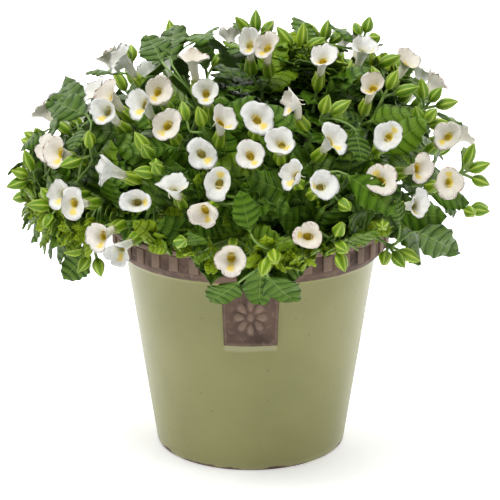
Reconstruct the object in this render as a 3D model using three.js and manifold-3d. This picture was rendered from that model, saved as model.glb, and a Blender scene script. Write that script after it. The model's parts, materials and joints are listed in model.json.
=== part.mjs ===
// A white wishbone flower that grows as a dome in a glazed clay pot.
// Millimetres, +Z up. The origin is the middle of the pot's underside, and the front looks along -Y.
import * as THREE from "three";
import { mergeVertices } from "three/addons/utils/BufferGeometryUtils.js";
import Module from "manifold-3d";

const wasm = await Module();
wasm.setup();

const V = (x, y, z) => new THREE.Vector3(x, y, z);
const UP = V(0, 0, 1);
const DEGREE = Math.PI / 180;
const SEAT_GAP = 0.3; // between pieces that rest on or in each other

// The pot: one fired piece, a glazed wall with a bare, flared rim band.
const POT = {
  sides: 40,
  footRadius: 77,
  footChamfer: 1.5,
  glazeTop: 158,
  glazeTopRadius: 100,
  bandLow: 167,
  bandRadius: 109,
  lipLow: 181,
  lipRadius: 112.5,
  height: 185,
  wall: 8,
  floor: 10,
};
const DENTIL = { count: 40, width: 8, height: 12, proud: 1.6, sunk: 3 };
const SEAL = { halfAngle: 12.7, bottom: 110, proud: 1.4 };
const ROSETTE = { petals: 8, petalLength: 12, petalWidth: 5.2, proud: 1.5, boss: 4.6 };
const DRAIN = { count: 3, radius: 5, ring: 32 };

// The compost fills the pot to a little below the rim.
const SOIL = { sides: 20, top: 168, mound: 4 };

// The dome is an upper and a lower half ellipsoid about one middle.
const DOME = { radius: 190, up: 133, down: 78, middle: 212 };

// Nine plants share the pot: a ring of eight, and one in the middle that owns the top of the dome.
const RING_PLANTS = 8;
const RING_STEP = 360 / RING_PLANTS;
const CROWN = { ring: 56, rootRadius: 3.4, rootDepth: 14, rootSides: 6 };
// The middle plant keeps inside this cone, and the ring's plants outside it.
const CONE = { low: 170, radius: 30, flare: 0.33 };
const PLANT_GAP = 0.8;

// A bloom is a flared trumpet that sits in a winged calyx.
const BLOOM = {
  radius: 13.4,
  tube: 18,
  throat: 6,
  throatAt: -5,
  foot: 2.6,
  skin: 1.1,
  mouth: 4.9,
  well: -15,
};
const CALYX = { length: 15, radius: 5.2, waist: 3.1, top: 3.3 };
const BUD = { length: 20, radius: 5.4, waist: 3.3 };
const PEDICEL = 7;
// Stems are square. A node is a short length of stem whose four faces bear leaves, buds or branches.
const STEM = { foot: 2.4, tip: 1.5, node: 4, rise: 78, run: 46 };
// Sideways and upward bends that a stem tries in turn, until it passes clear.
STEM.shifts = [0, 9, -9, 18, -18, 27, -27];
STEM.bends = [0, 10, -10, 20, -20].flatMap((rise) => STEM.shifts.map((shift) => [shift, rise]));
// A shoot whose tip is near an earlier one's branches off that one's fork, at this share of its stem.
const BRANCH = { near: 80, fork: 0.5, foot: 1.8, start: 9, lean: 12, run: 24, turn: 72 };

// Opposite leaf pairs on a shoot: how far below its tip, blade length, and angle from the stem.
const BLOOM_PAIRS = [
  { below: 0, length: 37, opening: 50 },
  { below: 24, length: 42, opening: 64 },
];
const BUD_PAIRS = [
  { below: 0, length: 33, opening: 64 },
  { below: 22, length: 40, opening: 66 },
];
const BLADE = { width: 0.64, petiole: 9, droop: 0.2, sag: 0.16, rib: 0.65, neck: 0.08 };
// The toothed edge of half a blade, as shares of its length and of its half width.
const BLADE_EDGE = [
  [0.12, 0.7],
  [0.42, 1.0],
  [0.47, 0.78],
  [0.76, 0.56],
];
const BLADE_RIB = [0, 0.45];
// Leaves that hang over the pot or stand out past the rest, in a plane of their own. Each is
// [bearing, rise] of its blade's base and of its tip, both on the dome.
const LONG_LEAVES = [
  [37, 2, 60, -21],
  [-4, -13, -3, -46],
  [4, -23, 14, -46],
  [-3, -29, -12, -44],
  [-43, 59, -94, 69],
  [-45, 57, -77, 62],
  [93, 62, 101, 70],
  [89, 61, 87, 58],
  [51, 6, 67, 5],
  [-52, 18, -67, 3],
  [-4, 1, -15, -3],
  [-35, 8, -36, -5],
  [-53, 33, -76, 31],
  [-57, 34, -85, 41],
  [-52, 32, -47, 24],
  [-69, 27, -72, 18],
  [-72, 73, -27, 69],
  [35, 3, 33, 11],
  [29, 34, 26, 24],
  [23, 21, 32, 8],
  [0, 4, -2, 16],
];
const LONG_LEAF = { depth: 7, miss: 36, petioles: [3, 90], facing: 0.02 };
// Shifts along the dome that a long leaf tries in turn, until it grows clear.
LONG_LEAF.shifts = [0, 3, -3, 6, -6].flatMap((bearing) => [0, 3, -3, 6, -6].map((rise) => [bearing, rise]));
// Turns round the stem and extra opening that a leaf tries in turn, until it grows clear.
const SWINGS = [0, 20, -8].flatMap((extra) => [0, 18, -18, 36, -36].map((swing) => [swing, extra]));

// Blooms on the front of the dome. Each line is one head of 1 to 3 blooms whose petals touch, and
// each bloom is [bearing, rise] on the dome, [bearing, rise] that it faces, and its lip's turn.
const FRONT_HEADS = [
  [[-62, 54, -65, 15, 20]],
  [
    [-48, 42, -55, 25, 0],
    [-43, 36, -20, 12, 20],
    [-57, 43, -70, 40, 0],
  ],
  [
    [-33, 41, -35, 10, 20],
    [-29, 47, 10, 20, 30],
  ],
  [[-26, 60, 0, 85, 0]],
  [[-14, 47, 0, 30, 0]],
  [[-22, 35, -5, 12, 35]],
  [[-7, 38, 40, 40, -20]],
  [
    [-1, 69, -10, 35, 0],
    [11, 65, -20, 20, 30],
  ],
  [[-11, 27, 15, 8, -40]],
  [[0, 27, 3, 15, -30]],
  [[-7, 19, -5, 20, 190]],
  [[-17, 18, 0, 68, -60]],
  [[-35, 20, -75, 12, 10]],
  [
    [-58, 22, -40, 25, -30],
    [-49, 21, -30, 8, 0],
  ],
  [
    [-47, 10, -30, 8, 20],
    [-42, 8, -5, 0, 0],
  ],
  [[-25, 12, 0, 18, 270]],
  [[-10, 10, -15, -15, -20]],
  [
    [-34, 0, -30, 10, 0],
    [-29, -8, -15, -20, 0],
  ],
  [[-4, -6, 0, 3, 0]],
  [[34, 60, 0, 50, 40]],
  [[69, 61, 15, 62, -40]],
  [[43, 47, -10, 42, 30]],
  [[87, 50, 30, 55, 0]],
  [[11, 43, -78, 8, 20]],
  [[2, 38, 10, 15, -40]],
  [[7, 31, -15, 35, -60]],
  [[21, 31, 45, 30, -20]],
  [[36, 30, -10, 20, 215]],
  [[57, 26, -20, 12, 40]],
  [[42, 19, 25, 5, 10]],
  [[50, 13, -15, 15, 180]],
  [[30, 18, -10, 30, 140]],
  [[39, 9, 35, 25, 35]],
  [[16, 18, 20, 32, 90]],
  [[9, 21, -45, 15, 20]],
  [[12, 3, 0, 10, 100]],
];
// Heads of two blooms on the far side, as [bearing, rise].
const BACK_PAIRS = [
  [110, 14],
  [106, 38],
  [132, 54],
  [134, 26],
  [153, 6],
  [160, 38],
  [182, 20],
  [186, 54],
  [206, 4],
  [212, 34],
  [234, 16],
  [240, 46],
  [258, 26],
];
const BACK_TWIN = { apart: 12, spread: 8, lift: 0.2 };
// Shoots that end in buds, as [bearing, rise].
const BUD_SHOOTS = [
  [-26, 27],
  [-14, 39],
  [58, 48],
  [78, 38],
  [23, 43],
  [5, -8],
  [20, -5],
  [37, -20],
  [-49, -30],
  [-50, 15],
  [74, 11],
  [49, 74],
  [-78, 21],
  [-79, 58],
  [120, 4],
  [145, 44],
  [166, 22],
  [196, 38],
  [222, 50],
  [220, 2],
  [250, 4],
  [110, 70],
  [175, 75],
  [250, 69],
];
const BUD_DEPTH = 20;
const BUD_SPREAD = 46;

const draw = (...keys) => {
  const weights = [12.9898, 78.233, 37.719, 4.581];
  const mixed = Math.sin(keys.reduce((sum, key, i) => sum + key * weights[i], 1.7)) * 43758.5453;
  return mixed - Math.floor(mixed);
};

// A closed solid from its corner points and its outward triangles.
function solid(points, faces) {
  return new wasm.Manifold(
    new wasm.Mesh({
      numProp: 3,
      vertProperties: new Float32Array(points.flatMap((p) => [p.x, p.y, p.z])),
      triVerts: new Uint32Array(faces.flat()),
    }),
  );
}

// A closed solid from a three.js geometry.
function fromGeometry(geometry) {
  const bare = geometry.index ? geometry.toNonIndexed() : geometry.clone();
  bare.deleteAttribute("normal");
  bare.deleteAttribute("uv");
  const merged = mergeVertices(bare, 1e-4);
  const corners = [...merged.index.array];
  const faces = [];
  for (let i = 0; i < corners.length; i += 3) {
    const [a, b, c] = corners.slice(i, i + 3);
    if (a !== b && b !== c && a !== c) faces.push([a, b, c]);
  }
  const at = merged.attributes.position;
  const points = Array.from({ length: at.count }, (_, i) => new THREE.Vector3().fromBufferAttribute(at, i));
  return solid(points, faces);
}

// A turned body about Z from [radius, height] pairs, listed up the outside and back down the inside.
function turned(outline, sides) {
  const points = outline.map(([r, z]) => new THREE.Vector2(r, z));
  return fromGeometry(new THREE.LatheGeometry(points, sides).rotateX(Math.PI / 2));
}

const joined = (solids) => wasm.Manifold.union(solids);

// The largest body of a union, without loose scraps and with sealed hollows filled.
function mainBody(made) {
  return made.decompose().reduce((best, body) => (body.volume() > best.volume() ? body : best));
}

function perpendicular(direction, towards) {
  const across = towards.clone().addScaledVector(direction, -towards.dot(direction));
  if (across.length() < 1e-6) return perpendicular(direction, V(0.3, 1, 0.2));
  return across.normalize();
}

// A skin is a closed surface that grows. Each new part opens a patch of it and goes on from there,
// and every loop of corners runs anticlockwise as seen from the tip of what grows out of it.
const newSkin = () => ({ points: [], faces: [] });

function addLoop(skin, points) {
  const start = skin.points.length;
  skin.points.push(...points);
  return points.map((_, i) => start + i);
}

function cap(skin, loop) {
  for (let k = 1; k < loop.length - 1; k++) skin.faces.push([loop[0], loop[k], loop[k + 1]]);
}

function point(skin, loop, tip) {
  const [end] = addLoop(skin, [tip]);
  loop.forEach((corner, k) => skin.faces.push([end, corner, loop[(k + 1) % loop.length]]));
}

// The corners of a loop as seen from its middle, and the way that the loop faces.
function loopFrame(skin, loop) {
  const corners = loop.map((corner) => skin.points[corner]);
  const middle = corners.reduce((sum, corner) => sum.addScaledVector(corner, 1 / corners.length), V(0, 0, 0));
  const spokes = corners.map((corner) => corner.clone().sub(middle));
  const faces = spokes.map((spoke, k) => spoke.clone().cross(spokes[(k + 1) % spokes.length]));
  return { spokes, normal: faces.reduce((sum, face) => sum.add(face), V(0, 0, 0)).normalize() };
}

// A band of triangles between two loops. Their corners are paired so that the band has no twist.
function bridge(skin, from, to) {
  const m = from.length;
  const n = to.length;
  const start = loopFrame(skin, from);
  const end = loopFrame(skin, to);
  const roll = new THREE.Quaternion().setFromUnitVectors(start.normal, end.normal);
  const rolled = start.spokes.map((spoke) => spoke.applyQuaternion(roll));
  const twist = (shift) =>
    end.spokes.reduce((sum, spoke, j) => {
      return sum + spoke.distanceToSquared(rolled[(Math.round((j * m) / n) + shift) % m]);
    }, 0);
  const shifts = from.map((_, shift) => shift);
  const shift = shifts.reduce((best, other) => (twist(other) < twist(best) ? other : best));
  const a = (i) => from[(i + shift) % m];
  const b = (j) => to[j % n];
  let i = 0;
  let j = 0;
  while (i < m || j < n) {
    if (j === n || (i < m && (i + 0.5) / m <= (j + 0.5) / n)) {
      skin.faces.push([a(i), a(i + 1), b(j)]);
      i++;
    } else {
      skin.faces.push([a(i), b(j + 1), b(j)]);
      j++;
    }
  }
}

// Corners round an axis. The first lies towards across, and each has its own [along, out].
function ringAt(centre, axis, across, corners, turned = 0) {
  const side = axis.clone().cross(across);
  return corners.map(([along, out], k) => {
    const turn = ((k + turned) / corners.length) * 2 * Math.PI;
    return centre
      .clone()
      .addScaledVector(axis, along)
      .addScaledVector(across, out * Math.cos(turn))
      .addScaledVector(side, out * Math.sin(turn));
  });
}

const even = (count, out, along = 0) => Array.from({ length: count }, () => [along, out]);

// The pot
const glazeRadius = (z) => POT.footRadius + ((POT.glazeTopRadius - POT.footRadius) * z) / POT.glazeTop;

function buildPot() {
  const body = turned(
    [
      [0, 0],
      [POT.footRadius - POT.footChamfer, 0],
      [glazeRadius(POT.footChamfer), POT.footChamfer],
      [POT.glazeTopRadius, POT.glazeTop],
      [POT.bandRadius, POT.bandLow],
      [POT.bandRadius, POT.lipLow],
      [POT.lipRadius, POT.lipLow],
      [POT.lipRadius, POT.height],
      [POT.bandRadius - POT.wall, POT.height],
      [POT.glazeTopRadius - POT.wall, POT.glazeTop],
      [glazeRadius(POT.floor) - POT.wall, POT.floor],
      [0, POT.floor],
    ],
    POT.sides,
  );
  const dentil = () =>
    new THREE.BoxGeometry(DENTIL.width, DENTIL.proud + DENTIL.sunk, DENTIL.height).translate(
      0,
      -(POT.bandRadius + (DENTIL.proud - DENTIL.sunk) / 2),
      (POT.bandLow + POT.lipLow) / 2,
    );
  const dentils = Array.from({ length: DENTIL.count }, (_, i) =>
    fromGeometry(dentil().rotateZ(((i + 0.5) / DENTIL.count) * 2 * Math.PI)),
  );
  const drains = Array.from({ length: DRAIN.count }, (_, i) => {
    const turn = (i / DRAIN.count) * 2 * Math.PI;
    const bore = new THREE.CylinderGeometry(DRAIN.radius, DRAIN.radius, 3 * POT.floor, 12);
    return fromGeometry(
      bore.rotateX(Math.PI / 2).translate(DRAIN.ring * Math.cos(turn), DRAIN.ring * Math.sin(turn), 0),
    );
  });
  return body.add(joined([...dentils, buildSeal()])).subtract(joined(drains));
}

// The seal is a raised tab of bare clay below the band, with a plain pressed rosette on it.
function buildSeal() {
  const sunk = 2;
  const sleeve = turned(
    [
      [glazeRadius(SEAL.bottom) - sunk, SEAL.bottom],
      [glazeRadius(SEAL.bottom) + SEAL.proud, SEAL.bottom],
      [POT.glazeTopRadius + SEAL.proud, POT.glazeTop],
      [POT.glazeTopRadius + SEAL.proud, POT.glazeTop + SEAL.proud],
      [POT.glazeTopRadius - sunk, POT.glazeTop + SEAL.proud],
      [glazeRadius(SEAL.bottom) - sunk, SEAL.bottom],
    ],
    POT.sides,
  );
  const reach = 2 * POT.glazeTopRadius;
  const edge = reach * Math.tan(SEAL.halfAngle * DEGREE);
  const wedge = new THREE.Shape([
    new THREE.Vector2(0, 0),
    new THREE.Vector2(-edge, -reach),
    new THREE.Vector2(edge, -reach),
  ]);
  const sector = fromGeometry(new THREE.ExtrudeGeometry(wedge, { depth: POT.height, bevelEnabled: false }));
  const middle = (SEAL.bottom + POT.glazeTop) / 2;
  const face = glazeRadius(middle) + SEAL.proud;
  const lean = Math.atan2(POT.glazeTopRadius - POT.footRadius, POT.glazeTop);
  const petal = (i) =>
    new THREE.OctahedronGeometry(1)
      .scale(ROSETTE.petalWidth / 2, ROSETTE.proud, ROSETTE.petalLength / 2)
      .translate(0, 0, ROSETTE.boss / 2 + ROSETTE.petalLength / 2)
      .rotateY((i / ROSETTE.petals) * 2 * Math.PI);
  const boss = new THREE.OctahedronGeometry(1, 1).scale(ROSETTE.boss, 2 * ROSETTE.proud, ROSETTE.boss);
  const place = (geometry) => geometry.rotateX(-lean).translate(0, -face + 0.2, middle);
  const relief = Array.from({ length: ROSETTE.petals }, (_, i) => fromGeometry(place(petal(i))));
  return sleeve.intersect(sector).add(joined([...relief, fromGeometry(place(boss))]));
}

// The compost
function crownFoot(plant) {
  if (plant === RING_PLANTS) return V(0, 0, SOIL.top);
  const turn = plant * RING_STEP * DEGREE;
  return V(CROWN.ring * Math.sin(turn), -CROWN.ring * Math.cos(turn), SOIL.top);
}

function rootPrism(plant, radius, low, high) {
  const skin = newSkin();
  const foot = crownFoot(plant);
  const ends = [low, high].map((z) =>
    addLoop(skin, ringAt(foot.clone().setZ(z), UP, V(1, 0, 0), even(CROWN.rootSides, radius))),
  );
  cap(skin, [...ends[0]].reverse());
  bridge(skin, ends[0], ends[1]);
  cap(skin, ends[1]);
  return solid(skin.points, skin.faces);
}

function buildSoil() {
  const inner = (z) => {
    const share = (z - POT.glazeTop) / (POT.height - POT.glazeTop);
    const low = POT.glazeTopRadius - POT.wall;
    return low + Math.max(share, 0) * (POT.bandRadius - POT.wall - low);
  };
  const edge = SOIL.top - SOIL.mound;
  const body = turned(
    [
      [0, POT.floor + SEAT_GAP],
      [glazeRadius(POT.floor) - POT.wall - 3 * SEAT_GAP, POT.floor + SEAT_GAP],
      [POT.glazeTopRadius - POT.wall - 3 * SEAT_GAP, POT.glazeTop],
      [inner(edge) - 3 * SEAT_GAP, edge],
      [60, SOIL.top],
      [0, SOIL.top],
    ],
    SOIL.sides,
  );
  const holes = Array.from({ length: RING_PLANTS + 1 }, (_, plant) =>
    rootPrism(plant, CROWN.rootRadius + SEAT_GAP, SOIL.top - CROWN.rootDepth - SEAT_GAP, SOIL.top + 20),
  );
  return body.subtract(joined(holes));
}

// Where things stand on the dome
const heading = (bearing, rise) =>
  V(
    Math.sin(bearing * DEGREE) * Math.cos(rise * DEGREE),
    -Math.cos(bearing * DEGREE) * Math.cos(rise * DEGREE),
    Math.sin(rise * DEGREE),
  );
const domeHeight = (z) => (z >= DOME.middle ? DOME.up : DOME.down);

function domePoint(bearing, rise) {
  const out = heading(bearing, rise);
  return V(out.x * DOME.radius, out.y * DOME.radius, DOME.middle + out.z * (rise < 0 ? DOME.down : DOME.up));
}

function domeNormal(point) {
  const high = domeHeight(point.z);
  return V(
    point.x / DOME.radius ** 2,
    point.y / DOME.radius ** 2,
    (point.z - DOME.middle) / high ** 2,
  ).normalize();
}

const coneRadius = (z) => CONE.radius + CONE.flare * (z - CONE.low);

// How far a point is inside a plant's own share of the dome. It is negative outside.
function roomIn(plant, point) {
  const radius = Math.hypot(point.x, point.y);
  if (plant === RING_PLANTS) return coneRadius(point.z) - radius - PLANT_GAP / 2;
  const bearing = Math.atan2(point.x, -point.y) / DEGREE;
  const off = ((((bearing - plant * RING_STEP + 180) % 360) + 360) % 360) - 180;
  const fromSide = radius * Math.sin((RING_STEP / 2 - Math.abs(off)) * DEGREE);
  return Math.min(fromSide, radius - coneRadius(point.z)) - PLANT_GAP / 2;
}

function plantAt(point) {
  if (Math.hypot(point.x, point.y) < coneRadius(point.z)) return RING_PLANTS;
  const bearing = Math.atan2(point.x, -point.y) / DEGREE;
  return Math.round((bearing + 360) / RING_STEP) % RING_PLANTS;
}

// How far a point is outside the pot and above the compost.
function roomOverPot(point) {
  const radius = Math.hypot(point.x, point.y);
  if (point.z > POT.height) return point.z - POT.height;
  const wall = point.z > POT.glazeTop ? POT.lipRadius : glazeRadius(point.z) + SEAL.proud + 3;
  if (radius > POT.bandRadius - POT.wall - 4) return radius - wall;
  return Math.min(POT.bandRadius - POT.wall - radius, point.z - SOIL.top);
}

// Blooms
function makeBloom(mouth, facing, lipTurn, index) {
  const size = 0.94 + 0.13 * draw(index, 1);
  const lip = perpendicular(facing, UP.clone().negate()).applyAxisAngle(facing, -lipTurn * DEGREE);
  return { index, mouth, facing, lip, size };
}

// A tube bends back from the way its bloom faces, so that the tubes of one head run side by side.
function bendTubes(blooms) {
  const mean = V(0, 0, 0);
  blooms.forEach(({ mouth, facing }) => {
    mean.addScaledVector(facing, 0.2).addScaledVector(domeNormal(mouth), 0.6);
  });
  mean.multiplyScalar(1 / blooms.length);
  blooms.forEach((bloom) => {
    bloom.tube = mean.clone().addScaledVector(bloom.facing, 0.2).normalize();
  });
  return blooms;
}

const frontHead = (places, count) =>
  places.map(([bearing, rise, faceBearing, faceRise, lipTurn], i) =>
    makeBloom(domePoint(bearing, rise), heading(faceBearing, faceRise), lipTurn, count + i),
  );

function backHead([bearing, rise], head, count) {
  const normal = domeNormal(domePoint(bearing, rise));
  const across = UP.clone().cross(normal).normalize();
  across.applyAxisAngle(normal, (draw(head, 5) - 0.5) * 0.9);
  return [-1, 1].map((side, i) => {
    const mouth = domePoint(bearing, rise).addScaledVector(across, side * BACK_TWIN.apart);
    const facing = normal
      .clone()
      .addScaledVector(across, side * Math.tan(BACK_TWIN.spread * DEGREE))
      .addScaledVector(UP, BACK_TWIN.lift)
      .normalize();
    return makeBloom(mouth, facing, 60 * (draw(head, i, 6) - 0.5), count + i);
  });
}

const heads = [];
FRONT_HEADS.forEach((places) => heads.push(bendTubes(frontHead(places, heads.flat().length))));
BACK_PAIRS.forEach((place) => heads.push(bendTubes(backHead(place, heads.length, heads.flat().length))));
const allBlooms = heads.flat();

const calyxTop = (bloom) => bloom.mouth.clone().addScaledVector(bloom.tube, -BLOOM.tube * bloom.size);
const calyxFoot = (bloom) => calyxTop(bloom).addScaledVector(bloom.tube, -CALYX.length);

// Four lobes: the lower lip, two side lobes and a broad upper lip, as shares of the bloom's radius.
const LIMB = [1.02, 0.98, 0.78, 0.98, 0.94, 0.74, 0.92, 0.96, 0.74, 0.94, 0.98, 0.78];

// A trumpet with an open throat. Its front and back skins meet at the petals' edge.
function bloomSolid({ index, mouth, facing, lip, tube, size }) {
  const skin = newSkin();
  const ring = (centre, axis, corners) => {
    const sized = corners.map(([along, out]) => [along * size, out * size]);
    return addLoop(skin, ringAt(centre, axis, perpendicular(axis, lip), sized));
  };
  const end = mouth.clone().addScaledVector(tube, -BLOOM.tube * size);
  const wave = (k) => 1.3 * (draw(index, k, 3) - 0.5) + (k % 3 === 2 ? -1.2 : 0.4);
  const foot = ring(end, tube, even(4, BLOOM.foot));
  const neck = ring(mouth, facing, even(4, BLOOM.throat, BLOOM.throatAt));
  const edge = ring(mouth, facing, LIMB.map((share, k) => [wave(k), BLOOM.radius * share]));
  const rim = ring(mouth, facing, even(4, BLOOM.mouth, BLOOM.throatAt + BLOOM.skin));
  cap(skin, [...foot].reverse());
  bridge(skin, foot, neck);
  bridge(skin, neck, edge);
  bridge(skin, edge, rim);
  point(skin, rim, mouth.clone().addScaledVector(tube, BLOOM.well * size));
  return solid(skin.points, skin.faces);
}

// A bloom slides along the dome until its petals meet those of the bloom before it in the head.
function headSolid(blooms) {
  return blooms.slice(1).reduce((made, bloom) => {
    const towards = blooms[0].mouth.clone().sub(bloom.mouth).normalize();
    while (made.intersect(bloomSolid(bloom)).volume() < 1.5) bloom.mouth.addScaledVector(towards, 0.5);
    return made.add(bloomSolid(bloom));
  }, bloomSolid(blooms[0]));
}

const headSolids = heads.map(headSolid);

// How deep a point is in a bloom, its calyx, and a depth of open air before it. Below zero is clear.
function depthInBloom(bloom, point, { air, calyx }) {
  const from = point.clone().sub(bloom.mouth);
  const ahead = from.dot(bloom.facing);
  const off = from.clone().addScaledVector(bloom.facing, -ahead).length();
  const limb = BLOOM.radius * bloom.size;
  if (ahead > 3 && ahead < air) return limb - 3 - off;
  if (ahead <= 3 && ahead > BLOOM.throatAt - 2) return limb + 3 - off;
  const up = from.dot(bloom.tube);
  const out = from.addScaledVector(bloom.tube, -up).length();
  const foot = BLOOM.tube * bloom.size + (calyx ? CALYX.length : 0);
  return up < 0 && up > -foot - 2 ? (calyx ? CALYX.radius : BLOOM.throat) + 3 - out : -99;
}

const clearOfBlooms = (point, reach) => allBlooms.every((bloom) => depthInBloom(bloom, point, reach) < 0);
const PETALS_ONLY = { air: 5, calyx: false };
const WHOLE_BLOOM = { air: 24, calyx: true };

// Calyces and buds have five wings, so every other corner of the ring stands out.
const winged = (along, wing, waist) => Array.from({ length: 10 }, (_, k) => [along, k % 2 ? waist : wing]);

function growCalyx(skin, patch, bloom) {
  const foot = calyxFoot(bloom);
  const across = perpendicular(bloom.tube, bloom.lip);
  const wings = winged(0.45 * CALYX.length, CALYX.radius, CALYX.waist);
  const body = addLoop(skin, ringAt(foot, bloom.tube, across, wings));
  const top = addLoop(skin, ringAt(foot, bloom.tube, across, even(5, CALYX.top, CALYX.length - SEAT_GAP)));
  bridge(skin, patch, body);
  bridge(skin, body, top);
  cap(skin, top);
}

function growBud(skin, patch, bud) {
  const wings = winged(0.42 * bud.length, BUD.radius, BUD.waist);
  const body = addLoop(skin, ringAt(bud.foot, bud.axis, perpendicular(bud.axis, UP), wings));
  bridge(skin, patch, body);
  point(skin, body, bud.foot.clone().addScaledVector(bud.axis, bud.length));
}

// Shoots: a stem from the plant's crown or from another stem, with leaf pairs and blooms or buds.
function bloomShoot(blooms) {
  const tube = V(0, 0, 0);
  const tip = V(0, 0, 0);
  blooms.forEach((bloom) => {
    tube.add(bloom.tube);
    tip.add(calyxFoot(bloom));
  });
  const axis = tube.addScaledVector(UP, 0.15 * blooms.length).normalize();
  tip.multiplyScalar(1 / blooms.length).addScaledVector(axis, blooms.length > 1 ? -12 : -PEDICEL);
  const spread = blooms.length > 1 ? calyxFoot(blooms[1]).sub(calyxFoot(blooms[0])) : UP;
  return { tip, axis, across: perpendicular(axis, spread), blooms, buds: [], pairs: BLOOM_PAIRS };
}

// Three buds at a shoot's tip. A bud that would meet a petal turns aside, or isn't there.
function budShoot([bearing, rise], number) {
  const tip = domePoint(bearing, rise);
  const normal = domeNormal(tip);
  tip.addScaledVector(normal, -BUD_DEPTH);
  const axis = normal.clone().addScaledVector(UP, 0.15).normalize();
  const across = perpendicular(axis, UP).applyAxisAngle(axis, Math.PI * draw(number, 4));
  const buds = [0, 1, -1].flatMap((side, k) => {
    const length = BUD.length * (0.8 + 0.3 * draw(number, k, 3));
    const tries = (side === 0 ? [0, 10, -10] : [0, 10, 20, -6]).map((more) => {
      const lean = (side === 0 ? more : side * (BUD_SPREAD + more)) * DEGREE;
      const out = axis.clone().multiplyScalar(Math.cos(lean)).addScaledVector(across, Math.sin(lean));
      const foot = tip.clone().addScaledVector(out, side === 0 ? PEDICEL : PEDICEL + 2);
      return { foot, axis: out, length };
    });
    const clear = (bud) =>
      [0.2, 0.5, 0.75, 1].every((share) => {
        const at = bud.foot.clone().addScaledVector(bud.axis, share * length);
        return allBlooms.every((bloom) => depthInBloom(bloom, at, { air: 8, calyx: true }) < -2.5);
      });
    return tries.filter(clear).slice(0, 1);
  });
  return { tip, axis, across, blooms: [], buds, pairs: BUD_PAIRS };
}

// A stem's curve, from its foot to its tip.
function stemCurve(shoot, bend) {
  const { tip, axis, parent } = shoot;
  const turn = tip.clone().addScaledVector(axis, -(parent ? BRANCH.run : STEM.run));
  if (turn.z < POT.height + 12) turn.setZ(POT.height + 12);
  const foot = parent ? parent.spot : crownFoot(shoot.plant);
  const lift = foot.clone();
  if (parent) lift.addScaledVector(parent.out.normalize(), BRANCH.lean);
  else lift.addScaledVector(UP, shoot.plant === RING_PLANTS ? 0.4 * STEM.rise : STEM.rise);
  lift.addScaledVector(bend, 1.1);
  turn.addScaledVector(bend, shoot.blooms.length > 1 ? 0.15 : 0.5);
  return new THREE.CubicBezierCurve3(foot, lift, turn, tip);
}

// A stem is bent aside to pass clear of every petal and of the plant's other stems.
function layStem(shoot, others) {
  const side = shoot.axis.clone().cross(UP).normalize();
  const away = side.clone().cross(shoot.axis);
  const taken = others.flatMap((other) => other.curve.getPoints(40).slice(4));
  const room = 2.4 * STEM.foot;
  const cost = (point) => {
    if (roomIn(shoot.plant, point) < STEM.foot || !clearOfBlooms(point, PETALS_ONLY)) return room ** 3;
    return taken.reduce((sum, spot) => sum + Math.max(room - spot.distanceTo(point), 0) ** 3, 0);
  };
  const tries = STEM.bends.map(([shift, rise]) => {
    const bend = side.clone().multiplyScalar(shift).addScaledVector(away, rise);
    const curve = stemCurve(shoot, bend);
    return { curve, cost: curve.getPoints(40).slice(4).reduce((sum, point) => sum + cost(point), 0) };
  });
  shoot.curve = tries.reduce((best, other) => (other.cost < best.cost ? other : best)).curve;
  shoot.axis = shoot.curve.getTangentAt(1);
  shoot.length = shoot.curve.getLength();
  const thick = shoot.parent ? BRANCH.foot : STEM.foot;
  let { across } = shoot;
  shoot.stations = stationsBelow(shoot).map((below) => {
    const share = Math.max(1 - below / shoot.length, 0);
    const axis = shoot.curve.getTangentAt(share);
    across = perpendicular(axis, across);
    const radius = thick + (STEM.tip - thick) * share;
    return { below, centre: shoot.curve.getPointAt(share), axis, across, radius };
  });
}

// Distances below the tip at which a stem has a ring of corners, from the tip down.
function stationsBelow(shoot) {
  const { length, pairs, parent } = shoot;
  shoot.nodes = pairs.map(({ below }) => below).filter((below) => below + BRANCH.start + 6 < length);
  if (!parent) shoot.fork = Math.max(BRANCH.fork * length, pairs[1].below + 2 * STEM.node + 6);
  const nodes = [...shoot.nodes, ...(parent ? [] : [shoot.fork])];
  const last = nodes.at(-1) + STEM.node;
  const end = parent ? length - BRANCH.start : length;
  const between = parent ? [] : [(last + end) / 2];
  return [...nodes.flatMap((below) => [below, below + STEM.node]), ...between, end];
}

const squareRing = ({ centre, axis, across, radius }) =>
  ringAt(centre, axis, across, even(4, radius), -0.5);

// The four faces of the node at this distance below the tip: out from across, side, and their opposites.
function nodeFaces(shoot, below) {
  const high = shoot.stations.find((station) => station.below === below);
  const low = shoot.stations.find((station) => station.below === below + STEM.node);
  const rings = [squareRing(low), squareRing(high)];
  return [0, 1, 2, 3].map((k) => {
    const next = (k + 1) % 4;
    const corners = [rings[0][k], rings[0][next], rings[1][next], rings[1][k]];
    const spot = corners.reduce((sum, corner) => sum.addScaledVector(corner, 0.25), V(0, 0, 0));
    const out = high.across.clone().applyAxisAngle(high.axis, (k * Math.PI) / 2);
    return { k, corners, spot, out, axis: high.axis };
  });
}

// A new shoot takes a free face of the nearest fork, or else starts at the crown.
function findParent(shoot, earlier) {
  const options = earlier
    .filter((other) => !other.parent)
    .filter((other) => other.tip.distanceTo(shoot.tip) < BRANCH.near)
    .flatMap((other) => nodeFaces(other, other.fork).map((face) => ({ ...face, other })))
    .filter(({ k, other }) => !other.branches.some((branch) => branch.parent.k === k))
    .map((face) => {
      const way = shoot.tip.clone().sub(face.spot);
      const turn = way.angleTo(face.out) / DEGREE;
      const out = face.out.clone().multiplyScalar(1.6).add(face.axis);
      return { ...face, turn, cost: way.length() * (1 + turn / 60), out };
    })
    .filter(({ turn }) => turn < BRANCH.turn);
  return options.reduce((best, face) => (best && best.cost <= face.cost ? best : face), null);
}

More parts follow.
